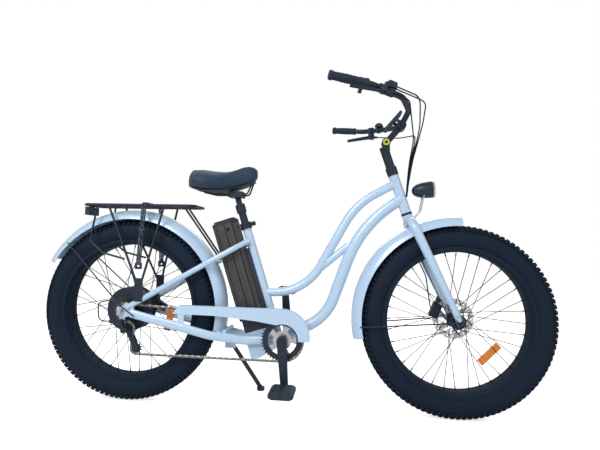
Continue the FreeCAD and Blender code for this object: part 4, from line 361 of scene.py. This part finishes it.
def rubber_finish(colours):
    """Tyre rubber: dusty between the blocks, with moulded rings on the side walls."""
    finish = Finish("tyre_rubber", specular_ior_level=0.2)
    colour = tuple(colours.rubber)
    grain = finish.noise(900.0, 3.0)
    patches = finish.span(finish.noise(14.0, 5.0), 0.42, 0.72)
    finish.drive(base_color=finish.mix(patches * 0.5, colour, shade(colour, 2.0)))
    finish.drive(roughness=0.62 + patches * 0.2)
    near = finish.far_from_axle()
    rings = finish.wave(near, 160.0) * (near < 0.325) * (near > 0.296)
    return finish.bump(rings * 0.6 + grain * 0.35, 0.0008)


def black_finish(colours):
    """Satin black powder coat with a fine texture and worn, brighter spots."""
    finish = Finish("black_metal", metallic=0.15)
    colour = tuple(colours.black)
    grain = finish.noise(700.0, 2.0)
    worn = finish.span(finish.noise(35.0, 8.0), 0.62, 0.8)
    finish.drive(base_color=finish.mix(worn * 0.35, colour, shade(colour, 3.2)))
    finish.drive(roughness=0.36 + grain * 0.16)
    return finish.bump(grain, 0.00008)


def rim_finish(colours):
    """Matt black anodised rim."""
    finish = Finish("rim_black", specular_ior_level=0.12)
    colour = tuple(colours.black)
    grain = finish.noise(500.0, 3.0)
    finish.drive(base_color=finish.mix(grain, shade(colour, 0.7), shade(colour, 1.3)))
    finish.drive(roughness=0.6 + grain * 0.2)
    return finish.bump(grain, 0.00006)


def plastic_finish(colours):
    """Moulded black plastic with a fine spark texture."""
    finish = Finish("black_plastic")
    colour = tuple(colours.black)
    cells = finish.cells(1600.0)
    finish.drive(base_color=finish.mix(finish.noise(60.0, 4.0), shade(colour, 0.9), shade(colour, 1.6)))
    finish.drive(roughness=0.48 + cells * 0.18)
    return finish.bump(cells, 0.00012)


def battery_finish(colours):
    """Anodised aluminium drawn lengthwise: fine lines, painted shade in the channels along the case and a
    round dark key lock.
    """
    finish = Finish("battery_shell", metallic=0.45)
    colour = tuple(colours.battery)
    upright = finish.moved(rotation=(0, SEAT_TUBE_LEAN, 0))
    lines = finish.noise(900.0, 2.0, finish.moved(scale=(1, 1, 0.02), place=upright))
    # The channel mask shapes the channels' bump and carries their painted shade
    grooves_and_shade = finish.span(finish.wave(finish.part(upright, "X"), 30.0), 0.93, 0.985)
    tone = finish.mix(lines, shade(colour, 0.82), shade(colour, 1.2))
    lock = finish.far_from(BATTERY_LOCK) < 0.0085
    # dark joins the painted shade in the channels with the lock's own dark colour
    dark = finish.node("ShaderNodeMath", {"operation": "MAXIMUM"}, {0: grooves_and_shade * 0.8, 1: lock * 0.85})
    finish.drive(base_color=finish.mix(dark, tone, shade(colour, 0.15)))
    finish.drive(roughness=0.38 + lines * 0.16)
    return finish.bump(lines * 0.04 - grooves_and_shade, 0.0014)


def steel_finish(name, colour, roughness):
    """Bare steel with turned or rolled lines and a little grime."""
    finish = Finish(name, metallic=0.95)
    grime = finish.span(finish.noise(120.0, 6.0), 0.5, 0.75)
    finish.drive(base_color=finish.mix(grime * 0.55, colour, shade(colour, 0.35)))
    finish.drive(roughness=roughness + grime * 0.2)
    return finish.bump(finish.noise(1500.0, 1.0), 0.00003)


def disc_finish():
    """Ground brake disc: circular lines round each wheel."""
    finish = Finish("brake_disc", metallic=0.6)
    near = finish.far_from_axle()
    lines = finish.node("ShaderNodeTexNoise", {"noise_dimensions": "1D"}, {"W": near, "Scale": 4200.0}, "Fac")
    finish.drive(base_color=finish.mix(lines, (0.66, 0.67, 0.69, 1.0), (0.86, 0.87, 0.89, 1.0)))
    finish.drive(roughness=0.26 + lines * 0.14)
    return finish.bump(lines, 0.00004)


def saddle_finish(colours):
    """Soft synthetic leather: pebbled grain, with rubbed lighter patches on the crown."""
    finish = Finish("saddle_cover", sheen_weight=0.15, sheen_roughness=0.5, specular_ior_level=0.4)
    colour = tuple(colours.saddle)
    grain = finish.cells(620.0, "SMOOTH_F1")
    rubbed = finish.span(finish.noise(9.0, 3.0), 0.45, 0.75)
    finish.drive(base_color=finish.mix(rubbed, colour, shade(colour, 1.45)))
    finish.drive(roughness=0.50 + grain * 0.15)
    return finish.bump(grain, 0.0005)


def grip_finish(colours):
    """Ribbed grip rubber, ridged across the grip's length, the troughs painted darker as shade and the ridge
    tops painted lighter as highlight.
    """
    finish = Finish("grip_rubber", specular_ior_level=0.35)
    colour = tuple(colours.black)
    along = finish.part(finish.place, "X")
    ridges_and_shade = finish.wave(along, 190.0)
    # Tone follows the ridges: tops painted lighter as highlight, troughs painted darker as shade
    finish.drive(base_color=finish.mix(ridges_and_shade, shade(colour, 0.8), shade(colour, 1.7)))
    finish.drive(roughness=0.6 + finish.noise(500.0) * 0.15)
    return finish.bump(ridges_and_shade + finish.noise(1400.0) * 0.3, 0.0007)


def reflector_finish(name, colour):
    """Clear tinted plastic with a grid of small prisms behind its face, its tint also glowing faintly through
    emission as painted light.
    """
    finish = Finish(name, coat_weight=0.6, coat_roughness=0.05, emission_strength=0.12)
    prisms = finish.cells(330.0)
    tone = finish.mix(finish.span(prisms, 0.0, 0.7), shade(colour, 1.25), shade(colour, 0.55))
    # The same tint goes into the emission: a faint painted glow
    finish.drive(base_color=tone, emission_color=tone, roughness=0.16 + prisms * 0.12)
    return finish.bump(prisms, 0.0006)


def lens_finish():
    """Clear moulded lens with upright flutes."""
    finish = Finish("headlight_lens", transmission_weight=0.75, roughness=0.06, ior=1.49)
    flutes = finish.wave(finish.part(finish.place, "Y"), 260.0)
    finish.drive(base_color=finish.mix(flutes, (0.82, 0.86, 0.88, 1.0), (0.96, 0.98, 1.0, 1.0)))
    return finish.bump(flutes, 0.0004)


def strap_finish():
    """Braided elastic cord: black with pale and blue flecks."""
    finish = Finish("strap_braid", specular_ior_level=0.3)
    braid = finish.cells(420.0)
    flecks = finish.span(finish.noise(260.0, 1.0), 0.62, 0.66)
    blue = finish.span(finish.noise(170.0, 1.0, finish.moved(location=(3, 1, 2))), 0.58, 0.62)
    dark = finish.mix(braid, (0.012, 0.013, 0.016, 1.0), (0.03, 0.032, 0.036, 1.0))
    tone = finish.mix(flecks, dark, (0.36, 0.38, 0.42, 1.0))
    finish.drive(base_color=finish.mix(blue * 0.8, tone, (0.05, 0.10, 0.30, 1.0)))
    finish.drive(roughness=0.7 + braid * 0.2)
    return finish.bump(braid, 0.0006)


def ring_finish():
    """Bright anodised pivot ring round a dark bolt head."""
    finish = Finish("pivot_ring", metallic=0.3)
    marks = finish.noise(400.0, 2.0)
    tone = finish.mix(marks, (0.55, 0.60, 0.04, 1.0), (0.74, 0.78, 0.10, 1.0))
    finish.drive(base_color=finish.mix(finish.far_from(STEM_PIVOT) < 0.0062, tone, (0.02, 0.022, 0.022, 1.0)))
    finish.drive(roughness=0.32 + marks * 0.1)
    return finish.bump(marks, 0.00005)


def lamp_finish(colours):
    """Black lamp shell with a bright steel rim at its front."""
    finish = Finish("lamp_shell")
    colour = tuple(colours.black)
    from_back = finish.node("ShaderNodeVectorMath", {"operation": "SUBTRACT"},
                            {0: finish.place, 1: LAMP_BACK})
    reach = finish.node("ShaderNodeVectorMath", {"operation": "DOT_PRODUCT"},
                        {0: from_back, 1: LAMP_WAY}, "Value")
    rim = reach > 0.0795
    marks = finish.noise(300.0, 3.0)
    tone = finish.mix(marks, shade(colour, 0.8), shade(colour, 1.4))
    finish.drive(base_color=finish.mix(rim, tone, (0.62, 0.63, 0.65, 1.0)), metallic=rim * 0.9)
    finish.drive(roughness=0.34 + marks * 0.1 - rim * 0.12)
    return finish.bump(marks, 0.00005)


def glass_finish():
    """Dark smooth display glass with a few faint smears."""
    finish = Finish("display_glass", coat_weight=1.0, coat_roughness=0.03)
    smears = finish.span(finish.noise(40.0, 4.0), 0.5, 0.8)
    finish.drive(base_color=finish.mix(smears, (0.010, 0.012, 0.014, 1.0), (0.03, 0.034, 0.038, 1.0)))
    finish.drive(roughness=0.08 + smears * 0.15)
    return finish.bump(smears, 0.00002)


# Operators, one for each piece or group of like pieces

class CRUISER_OT_tyres(bpy.types.Operator):
    """Make the knobbly fat tyres that stand for the plain casings"""

    bl_idname = "cruiser.tyres"
    bl_label = "Tyres"

    # Each row: lean from the crown in degrees, shift in pitches, block width
    ROWS = ((-47.0, 0.5, 0.014), (-26.0, 0.12, 0.015), (-8.2, 0.0, 0.0125),
            (8.2, 0.0, 0.0125), (26.0, 0.12, 0.015), (47.0, 0.5, 0.014))
    CROWN_LEAN = 20.0
    # How deep a block's foot is sunk in the casing, and the bevel of its edges
    FOOT = 0.002
    EDGE = 0.0011
    # Length of the round cutter that opens the casing at the rim
    OPENING_DEPTH = 0.3

    def casing(self, sizes):
        deselect()
        bpy.ops.mesh.primitive_torus_add(major_radius=sizes.ring_radius, minor_radius=sizes.section_radius,
                                         major_segments=160, minor_segments=44)
        casing = bpy.context.object
        bpy.ops.mesh.primitive_cylinder_add(radius=sizes.bead_radius, depth=self.OPENING_DEPTH, vertices=160)
        opening = bpy.context.object
        apply(casing, "BOOLEAN", operation="DIFFERENCE", object=opening, solver="EXACT")
        remove(opening)
        return casing

    def block(self, sizes, lean, phase, width):
        """One tread block, its foot sunk in the casing, bevelled at its edges."""
        turn = math.radians(lean)
        height = sizes.crown_height if abs(lean) < self.CROWN_LEAN else sizes.side_height
        middle = sizes.section_radius + height / 2 - self.FOOT / 2
        reach = Vector((sizes.ring_radius + middle * math.cos(turn), 0, middle * math.sin(turn)))
        deselect()
        bpy.ops.mesh.primitive_cube_add(size=1, location=reach, rotation=(0, -turn, 0),
                                        scale=(height + self.FOOT, sizes.block_length, width))
        block = settle(bpy.context.object)
        apply(block, "BEVEL", width=self.EDGE, segments=1)
        step = math.tau / sizes.pitches
        block.data.transform(Matrix.Rotation(step * phase, 4, "Z"))
        return block

    def tread(self, sizes):
        """One pitch of blocks, repeated round the tyre."""
        blocks = [self.block(sizes, *row) for row in self.ROWS]
        tread = join("tread", *blocks)
        deselect()
        bpy.ops.object.empty_add(rotation=(0, 0, math.tau / sizes.pitches))
        turn = bpy.context.object
        apply(tread, "ARRAY", count=sizes.pitches, use_relative_offset=False, use_object_offset=True,
              offset_object=turn)
        remove(turn)
        return tread

    def execute(self, context):
        sizes = context.scene.tread_sizes
        front = join("front_tyre_tread", self.casing(sizes), self.tread(sizes))
        front.data.transform(Matrix.Rotation(math.radians(90), 4, "X"))
        smooth(front)
        rear = twin(front, "rear_tyre_tread")
        for piece, axle, body, node in ((front, FRONT_AXLE, "front_wheel", "front_tyre"),
                                        (rear, REAR_AXLE, "rear_wheel", "rear_tyre")):
            piece.data.transform(Matrix.Translation(axle))
            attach(piece, body)
            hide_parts(node)
        return {"FINISHED"}


class CRUISER_OT_saddle(bpy.types.Operator):
    """Make the padded saddle cover from the saddle's own solid"""

    bl_idname = "cruiser.saddle"
    bl_label = "Saddle"

    VOXEL = 0.005
    SLACK = 0.003
    SWELL_LIMIT = 0.006
    FRAMES = 20
    SEAM = 0.0001
    PRESSURE = 4.0
    UNDERSIDE = -0.5
    # The rear end, measured from the saddle clamp: where it starts, its depth, its middle height and its gain
    REAR_START = -0.150
    REAR_DEPTH = 0.044
    REAR_MIDDLE = 0.056
    REAR_GAIN = 0.9

    def shell(self):
        """An even skin a little smaller than the saddle's solid."""
        cover = skin_of("saddle_cushion", "saddle_cover", self.SEAM)
        apply(cover, "REMESH", mode="VOXEL", voxel_size=self.VOXEL)
        apply(cover, "SMOOTH", factor=0.5, iterations=3)
        self.square_off(cover)
        return apply(cover, "DISPLACE", strength=-self.SLACK, mid_level=0.0)

    def square_off(self, cover):
        """Draws the rounded rear end of the skin up into a blunt wall with a firm upper edge."""
        for vertex in cover.data.vertices:
            behind = self.REAR_START - (vertex.co.x - SADDLE_CLAMP.x)
            share = min(1.0, max(0.0, behind / self.REAR_DEPTH))
            height = vertex.co.z - SADDLE_CLAMP.z
            vertex.co.z += (height - self.REAR_MIDDLE) * self.REAR_GAIN * share * share

    def swell(self, cover, scene):
        """Blows the skin up like a stuffed cover, held along its underside."""
        rest = [vertex.co.copy() for vertex in cover.data.vertices]
        held = cover.vertex_groups.new(name="held")
        under = [vertex.index for vertex in cover.data.vertices if vertex.normal.z < self.UNDERSIDE]
        held.add(under, 1.0, "REPLACE")
        pick(cover)
        cloth = cover.modifiers.new("Cloth", "CLOTH")
        cloth.settings.use_pressure = True
        cloth.settings.uniform_pressure_force = self.PRESSURE
        cloth.settings.effector_weights.gravity = 0.0
        cloth.settings.vertex_group_mass = held.name
        cloth.point_cache.frame_end = self.FRAMES
        for number in range(1, self.FRAMES + 1):
            scene.frame_set(number)
        bpy.ops.object.modifier_apply(modifier=cloth.name)
        scene.frame_set(1)
        for vertex, start in zip(cover.data.vertices, rest):
            move = vertex.co - start
            if move.length > self.SWELL_LIMIT:
                vertex.co = start + move.normalized() * self.SWELL_LIMIT
        cover.vertex_groups.clear()

    def execute(self, context):
        cover = self.shell()
        self.swell(cover, context.scene)
        apply(cover, "SMOOTH", factor=0.5, iterations=2)
        apply(cover, "SUBSURF", levels=1, render_levels=1)
        smooth(cover, 60)
        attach(cover, "saddle")
        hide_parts("saddle_cushion")
        return {"FINISHED"}


class CRUISER_OT_cables(bpy.types.Operator):
    """Make the control cables that loop ahead of the handlebar"""

    bl_idname = "cruiser.cables"
    bl_label = "Control cables"

    DIAMETER = 0.005
    BENDS_ABOVE = Vector((0.49, 0.0, 1.09))
    HELD_BELOW = Vector((0.46, 0.0, 0.88))
    # Each cable: its length, then its route from the control down to the head tube
    ROUTES = {
        "right_brake_cable": (0.550, (
            (0.3681, -0.2927, 1.1650), (0.4288, -0.2741, 1.1574), (0.444, -0.209, 1.136),
            (0.468, -0.102, 1.101), (0.4876, -0.0140, 1.0724), (0.4671, -0.0140, 0.9731),
            (0.4598, -0.0140, 0.8488))),
        "left_brake_cable": (0.600, (
            (0.3681, 0.2927, 1.1650), (0.4611, 0.2641, 1.1533), (0.472, 0.191, 1.138),
            (0.486, 0.095, 1.118), (0.5002, -0.0070, 1.0969), (0.4718, -0.0070, 0.9747),
            (0.4633, -0.0070, 0.8500))),
        "shifter_cable": (0.564, (
            (0.3846, -0.2313, 1.2133), (0.439, -0.188, 1.207), (0.4873, -0.1492, 1.2017),
            (0.500, -0.076, 1.162), (0.5129, 0.0, 1.1214), (0.4765, 0.0, 0.9764),
            (0.4643, 0.0, 0.8503))),
        "throttle_cable": (0.597, (
            (0.3839, -0.2319, 1.2034), (0.459, -0.172, 1.195), (0.5130, -0.1286, 1.1888),
            (0.519, -0.062, 1.168), (0.5255, 0.0070, 1.1459), (0.503, 0.007, 1.059),
            (0.4813, 0.0070, 0.9780), (0.4633, 0.0070, 0.8500))),
    }

    def execute(self, context):
        for name, (length, points) in self.ROUTES.items():
            cable, path = cord_tube(name, points, self.DIAMETER)
            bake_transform(cable)
            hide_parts("control_cables")
        return {"FINISHED"}


class CRUISER_OT_straps(bpy.types.Operator):
    """Make the elastic luggage cords that lie over the rack and the clips at their ends"""

    bl_idname = "cruiser.straps"
    bl_label = "Luggage cords"

    DIAMETER = 0.006
    LENGTH = 0.634
    LANES = {"luggage_cord_rear": -0.593, "luggage_cord_middle": -0.586, "luggage_cord_front": -0.579}
    # Half of a cord's route as sideways and upward places: its clip, the rack's rail, then in over the deck
    HALF_ROUTE = ((0.107, 0.566), (0.0801, 0.7903), (0.0783, 0.8053), (0.0633, 0.8053))
    CLIP = Vector((-0.586, 0.107, 0.5527))
    CLIP_SIZE = (0.028, 0.012, 0.026)
    CLIP_EDGE = 0.0045
    WINDOW_RADIUS = 0.008
    WINDOW_DEPTH = 0.03
    WINDOW_DROP = Vector((0.0, 0.0, 0.001))
    WINDOW_FLATNESS = 0.55

    def clip(self, way):
        """One moulded clip: a rounded block with an oval window through it."""
        place = Vector((self.CLIP.x, self.CLIP.y * way, self.CLIP.z))
        deselect()
        bpy.ops.mesh.primitive_cube_add(size=1, location=place, scale=self.CLIP_SIZE)
        body = settle(bpy.context.object)
        apply(body, "BEVEL", width=self.CLIP_EDGE, segments=3)
        deselect()
        bpy.ops.mesh.primitive_cylinder_add(radius=self.WINDOW_RADIUS, depth=self.WINDOW_DEPTH, vertices=48,
                                            rotation=(math.radians(90), 0, 0),
                                            location=place - self.WINDOW_DROP)
        window = settle(bpy.context.object)
        flatter = Matrix.Diagonal((1, 1, self.WINDOW_FLATNESS, 1))
        window.data.transform(Matrix.Translation(place) @ flatter @ Matrix.Translation(-place))
        apply(body, "BOOLEAN", operation="DIFFERENCE", object=window, solver="EXACT")
        remove(window)
        return body

    def execute(self, context):
        for name, x in self.LANES.items():
            right = [(x, -y, z) for y, z in self.HALF_ROUTE]
            left = [(x, y, z) for y, z in reversed(self.HALF_ROUTE)]
            cord, path = cord_tube(name, right + left, self.DIAMETER)
            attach(cord, "frame")
            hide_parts("bungee_straps")
        clips = smooth(join("luggage_clips", self.clip(-1), self.clip(1)))
        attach(clips, "frame")
        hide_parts("bungee_straps")
        return {"FINISHED"}


class CRUISER_OT_chain(bpy.types.Operator):
    """Make the chain in three stretches: the drive run on the frame, the slack run through the derailleur
    cage and the run from the cage to the cog
    """

    bl_idname = "cruiser.chain"
    bl_label = "Chain"

    STRETCHES = ("chain_drive_run", "chain_cage_run", "chain_cog_run")
    # The slack run bends ahead of the lower jockey wheel, and again between the upper one and the cog
    RUN_FREE = Vector((-0.500, 0.0, 0.202))
    RUN_HELD = Vector((-0.565, 0.0, 0.202))
    COG_HELD = Vector((-0.633, 0.0, 0.322))
    COG_FREE = Vector((-0.640, 0.0, 0.343))
    RUN_LEAD = 0.02
    JOCKEY_MIDDLE = 0.300
    SEAM = 0.000001

    def part_off(self, chain, name, inside):
        """Takes the links that reach into a region off the chain, as a stretch of their own."""
        pick(chain)
        for vertex in chain.data.vertices:
            vertex.select = inside(vertex.co)
        bpy.ops.object.mode_set(mode="EDIT")
        bpy.ops.mesh.select_linked()
        bpy.ops.mesh.separate(type="SELECTED")
        bpy.ops.object.mode_set(mode="OBJECT")
        stretch = next(item for item in bpy.context.selected_objects if item is not chain)
        stretch.name = name
        return stretch

    def execute(self, context):
        drive_name, cage_name, cog_name = self.STRETCHES
        drive = skin_of("chain", drive_name, self.SEAM)
        cage = self.part_off(drive, cage_name, lambda spot:
                             spot.x < self.RUN_FREE.x + self.RUN_LEAD and spot.z < self.JOCKEY_MIDDLE)
        cog = self.part_off(drive, cog_name, lambda spot:
                            spot.x < self.RUN_HELD.x and spot.z < self.COG_FREE.z)
        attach(drive, "frame")
        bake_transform(cage)
        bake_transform(cog)
        for piece in (drive, cage, cog):
            smooth(piece)
            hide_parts("chain")
        return {"FINISHED"}


class CRUISER_OT_finishes(bpy.types.Operator):
    """Give every piece its finish"""

    bl_idname = "cruiser.finishes"
    bl_label = "Finishes"

    # Limits that part one finish from the next on a piece with two
    AXLE_END_REACH = 0.105
    AXLE_END_OUT = 0.06
    AXLE_END_RADIUS = 0.014
    FRONT_STAY_REACH = 0.352
    REAR_STAY_REACH = 0.357
    FENDER_HALF_WIDTH = 0.0545
    PIVOT_RADIUS = 0.0131
    PIVOT_OUT = 0.0145
    SPIDER_RADIUS = 0.056
    LENS_REACH = 0.0799
    LENS_RADIUS = 0.0291
    BOWL_REACH = 0.049
    BOWL_RADIUS = 0.0294

    def dress(self, piece, *finishes, choose=None):
        """Puts finishes on a piece; choose gives a face's finish number from its middle and normal."""
        piece.data.materials.clear()
        for finish in finishes:
            piece.data.materials.append(finish.material)
        if choose:
            for face in piece.data.polygons:
                face.material_index = choose(face.center, face.normal)

    def execute(self, context):
        colours = context.scene.bicycle_colours
        nodes = frame["nodes"]
        paint, black = paint_finish(colours), black_finish(colours)
        plastic, rubber = plastic_finish(colours), rubber_finish(colours)
        steel = steel_finish("bright_steel", (0.55, 0.55, 0.56, 1.0), 0.28)
        chain_steel = steel_finish("chain_steel", (0.30, 0.29, 0.28, 1.0), 0.38)
        dark_steel = steel_finish("dark_steel", (0.10, 0.10, 0.11, 1.0), 0.42)
        amber = reflector_finish("amber_lens", (0.80, 0.23, 0.008, 1.0))
        red = reflector_finish("red_lens", (0.55, 0.015, 0.02, 1.0))
        lens, ring, glass = lens_finish(), ring_finish(), glass_finish()
        groups = (
            (paint, "head_tube top_tube down_tube seat_tube bottom_bracket_shell chainstays seatstays "
                    "chain_guard"),
            (rim_finish(colours), "front_rim rear_rim front_spokes rear_spokes"),
            (black, "front_hub hub_motor handlebar stem_arm rear_rack kickstand rear_derailleur "
                    "front_brake_caliper rear_brake_caliper seat_clamp crankset derailleur_cage seat_post "
                    "seat_post_head brake_lever_left brake_lever_right bearing_cups"),
            (plastic, "bar_controls throttle_paddle battery_cap battery_dock jockey_upper jockey_lower "
                      "pedal_left pedal_right saddle_frame"),
            (battery_finish(colours), "battery_case"),
            (disc_finish(), "front_rotor rear_rotor"),
            (steel, "rear_axle"),
            (dark_steel, "freewheel"),
            (grip_finish(colours), "grips"),
            (amber, "front_reflector rear_reflector"),
        )
        for finish, names in groups:
            for name in names.split():
                self.dress(nodes[name], finish)
        for name in ("front_tyre_tread", "rear_tyre_tread", *CRUISER_OT_cables.ROUTES):
            self.dress(bpy.data.objects[name], rubber)
        for name in CRUISER_OT_chain.STRETCHES:
            self.dress(bpy.data.objects[name], chain_steel)
        braid = strap_finish()
        for name in CRUISER_OT_straps.LANES:
            self.dress(bpy.data.objects[name], braid)
        self.dress(bpy.data.objects["luggage_clips"], plastic)
        self.dress(nodes["tail_light"], plastic, red, choose=lambda middle, normal: int(normal.x < -0.5))
        self.dress(bpy.data.objects["saddle_cover"], saddle_finish(colours))
        self.dress_painted(nodes, paint, black)
        self.dress_rings(nodes, black, ring, steel)
        self.dress_headlight(nodes["headlight"], lamp_finish(colours), steel, lens)
        self.dress(nodes["display"], plastic, glass,
                   choose=lambda middle, normal: int(normal.dot(DISPLAY_FACE) > 0.9))
        return {"FINISHED"}

    def dress_painted(self, nodes, paint, black):
        """The painted fork with its dark axle ends, and the painted fenders with their dark stays."""
        self.dress(nodes["fork"], paint, black, choose=lambda middle, normal:
                   int((middle - FRONT_AXLE).length < self.AXLE_END_REACH
                       and abs(middle.y) > self.AXLE_END_OUT
                       and flat_distance(middle, FRONT_AXLE) < self.AXLE_END_RADIUS))
        for name, axle, stay in (("front_fender", FRONT_AXLE, self.FRONT_STAY_REACH),
                                 ("rear_fender", REAR_AXLE, self.REAR_STAY_REACH)):
            self.dress(nodes[name], paint, black, choose=lambda middle, normal, axle=axle, stay=stay:
                       int(flat_distance(middle, axle) < stay or abs(middle.y) > self.FENDER_HALF_WIDTH))

    def dress_rings(self, nodes, black, ring, steel):
        """The bright ring at the stem's pivot and the bright middle of the chainring."""
        self.dress(nodes["stem_riser"], black, ring, choose=lambda middle, normal:
                   int(flat_distance(middle, STEM_PIVOT) < self.PIVOT_RADIUS
                       and abs(middle.y) > self.PIVOT_OUT))
        self.dress(nodes["chainring"], black, steel, choose=lambda middle, normal:
                   int(flat_distance(middle, CHAINRING) < self.SPIDER_RADIUS))

    def dress_headlight(self, headlight, shell, steel, lens):
        """The lamp's shell, its bright reflector and wire bracket, and the lens in front."""
        def lamp(middle, normal):
            reach = (middle - LAMP_BACK).dot(LAMP_WAY)
            radius = (middle - LAMP_BACK - LAMP_WAY * reach).length
            if reach > self.LENS_REACH and radius < self.LENS_RADIUS:
                return 2
            inside = reach > self.BOWL_REACH and radius < self.BOWL_RADIUS and normal.dot(LAMP_WAY) > 0.05
            return int(inside or middle.z < LAMP_BRACKET_TOP)

        self.dress(headlight, shell, steel, lens, choose=lamp)


class CRUISER_OT_studio(bpy.types.Operator):
    """Set up the pale floor, the soft lamps and the camera"""

    bl_idname = "cruiser.studio"
    bl_label = "Studio"

    ROOM_LIGHT = 0.37
    FLOOR_GLOW = 0.69
    FILM_WIDTH = 36.0
    CAMERA_PLACE = (0.21373, -1.72080, 0.64545)
    # Each lamp: its name, place, target, width and height, and power in watts
    LAMPS = (("key_lamp", (-1.6, -3.0, 3.2), (0, 0, 0.6), (2.2, 2.2), 120),
             ("fill_lamp", (3.0, -2.4, 2.2), (0.2, 0, 0.6), (2.4, 2.4), 26),
             ("rim_lamp", (0.2, 3.0, 3.0), (0, 0, 0.5), (3.0, 2.0), 50))

    def floor(self):
        deselect()
        bpy.ops.mesh.primitive_plane_add(size=40, location=(0, 8, 0))
        floor = settle(bpy.context.object)
        floor.name = "studio_floor"
        finish = Finish("studio_floor", roughness=0.9, specular_ior_level=0.0,
                        emission_strength=self.FLOOR_GLOW)
        grey, paler = (0.86, 0.86, 0.86, 1.0), (0.88, 0.88, 0.88, 1.0)
        finish.drive(base_color=finish.mix(finish.noise(2.0), grey, paler))
        finish.drive(emission_color=finish.node("ShaderNodeLightPath", out="Is Camera Ray"))
        floor.data.materials.append(finish.material)

    def lamp(self, name, place, target, size, power):
        deselect()
        bpy.ops.object.light_add(type="AREA", location=place)
        lamp = bpy.context.object
        lamp.name = name
        lamp.data.shape = "RECTANGLE"
        lamp.data.size, lamp.data.size_y = size
        lamp.data.energy = power
        lamp.rotation_mode = "QUATERNION"
        lamp.rotation_quaternion = (Vector(target) - Vector(place)).to_track_quat("-Z", "Y")

    def sky(self):
        """A white room that lights the bicycle softly."""
        world = bpy.data.worlds.new("white_room")
        bpy.context.scene.world = world
        world.use_nodes = True
        nodes, links = world.node_tree.nodes, world.node_tree.links
        path = nodes.new("ShaderNodeLightPath")
        seen = nodes.new("ShaderNodeMath")
        seen.operation = "MAXIMUM"
        strength = nodes.new("ShaderNodeMapRange")
        strength.inputs["To Min"].default_value = self.ROOM_LIGHT
        strength.inputs["To Max"].default_value = 1.0
        links.new(path.outputs["Is Camera Ray"], seen.inputs[0])
        links.new(path.outputs["Is Transmission Ray"], seen.inputs[1])
        links.new(seen.outputs[0], strength.inputs["Value"])
        nodes["Background"].inputs["Color"].default_value = (1, 1, 1, 1)
        links.new(strength.outputs[0], nodes["Background"].inputs["Strength"])

    def camera(self, stage):
        deselect()
        level = math.cos(stage.pitch)
        ahead = Vector((-math.sin(stage.yaw) * level, math.cos(stage.yaw) * level, math.sin(stage.pitch)))
        right = Vector((math.cos(stage.yaw), math.sin(stage.yaw), 0))
        down = ahead.cross(right)
        across = right * math.cos(stage.roll) - down * math.sin(stage.roll)
        below = right * math.sin(stage.roll) + down * math.cos(stage.roll)
        bpy.ops.object.camera_add()
        camera = bpy.context.object
        camera.data.lens = stage.lens
        camera.data.sensor_width = self.FILM_WIDTH
        turn = Matrix((across, -below, -ahead)).transposed().to_4x4()
        camera.matrix_world = Matrix.Translation(self.CAMERA_PLACE) @ turn
        bpy.context.scene.camera = camera

    def execute(self, context):
        self.floor()
        self.sky()
        for settings in self.LAMPS:
            self.lamp(*settings)
        self.camera(context.scene.stage_sizes)
        context.scene.view_settings.view_transform = "Standard"
        return {"FINISHED"}


class CRUISER_PT_panel(bpy.types.Panel):
    """Sidebar with the bicycle's tread sizes, colours and viewpoint, and a button for each step"""

    bl_idname = "CRUISER_PT_panel"
    bl_label = "Beach cruiser"
    bl_space_type = "VIEW_3D"
    bl_region_type = "UI"
    bl_category = "Cruiser"

    def draw(self, context):
        for group in (context.scene.tread_sizes, context.scene.bicycle_colours, context.scene.stage_sizes):
            box = self.layout.box()
            for name in group.__annotations__:
                box.prop(group, name)
        for operator in OPERATORS:
            self.layout.operator(operator.bl_idname)


GROUPS = (TreadSizes, BicycleColours, StageSizes)
OPERATORS = (CRUISER_OT_studio, CRUISER_OT_cables, CRUISER_OT_straps, CRUISER_OT_tyres, CRUISER_OT_chain,
             CRUISER_OT_saddle, CRUISER_OT_finishes)
CLASSES = GROUPS + OPERATORS + (CRUISER_PT_panel,)


def register():
    for item in CLASSES:
        bpy.utils.register_class(item)
    bpy.types.Scene.tread_sizes = PointerProperty(type=TreadSizes)
    bpy.types.Scene.bicycle_colours = PointerProperty(type=BicycleColours)
    bpy.types.Scene.stage_sizes = PointerProperty(type=StageSizes)


def unregister():
    del bpy.types.Scene.stage_sizes
    del bpy.types.Scene.bicycle_colours
    del bpy.types.Scene.tread_sizes
    for item in reversed(CLASSES):
        bpy.utils.unregister_class(item)


def main():
    register()
    bpy.ops.cruiser.studio()
    bpy.ops.cruiser.cables()
    bpy.ops.cruiser.straps()
    bpy.ops.cruiser.tyres()
    bpy.ops.cruiser.chain()
    bpy.ops.cruiser.saddle()
    bpy.ops.cruiser.finishes()


if __name__ == "__main__":
    main()
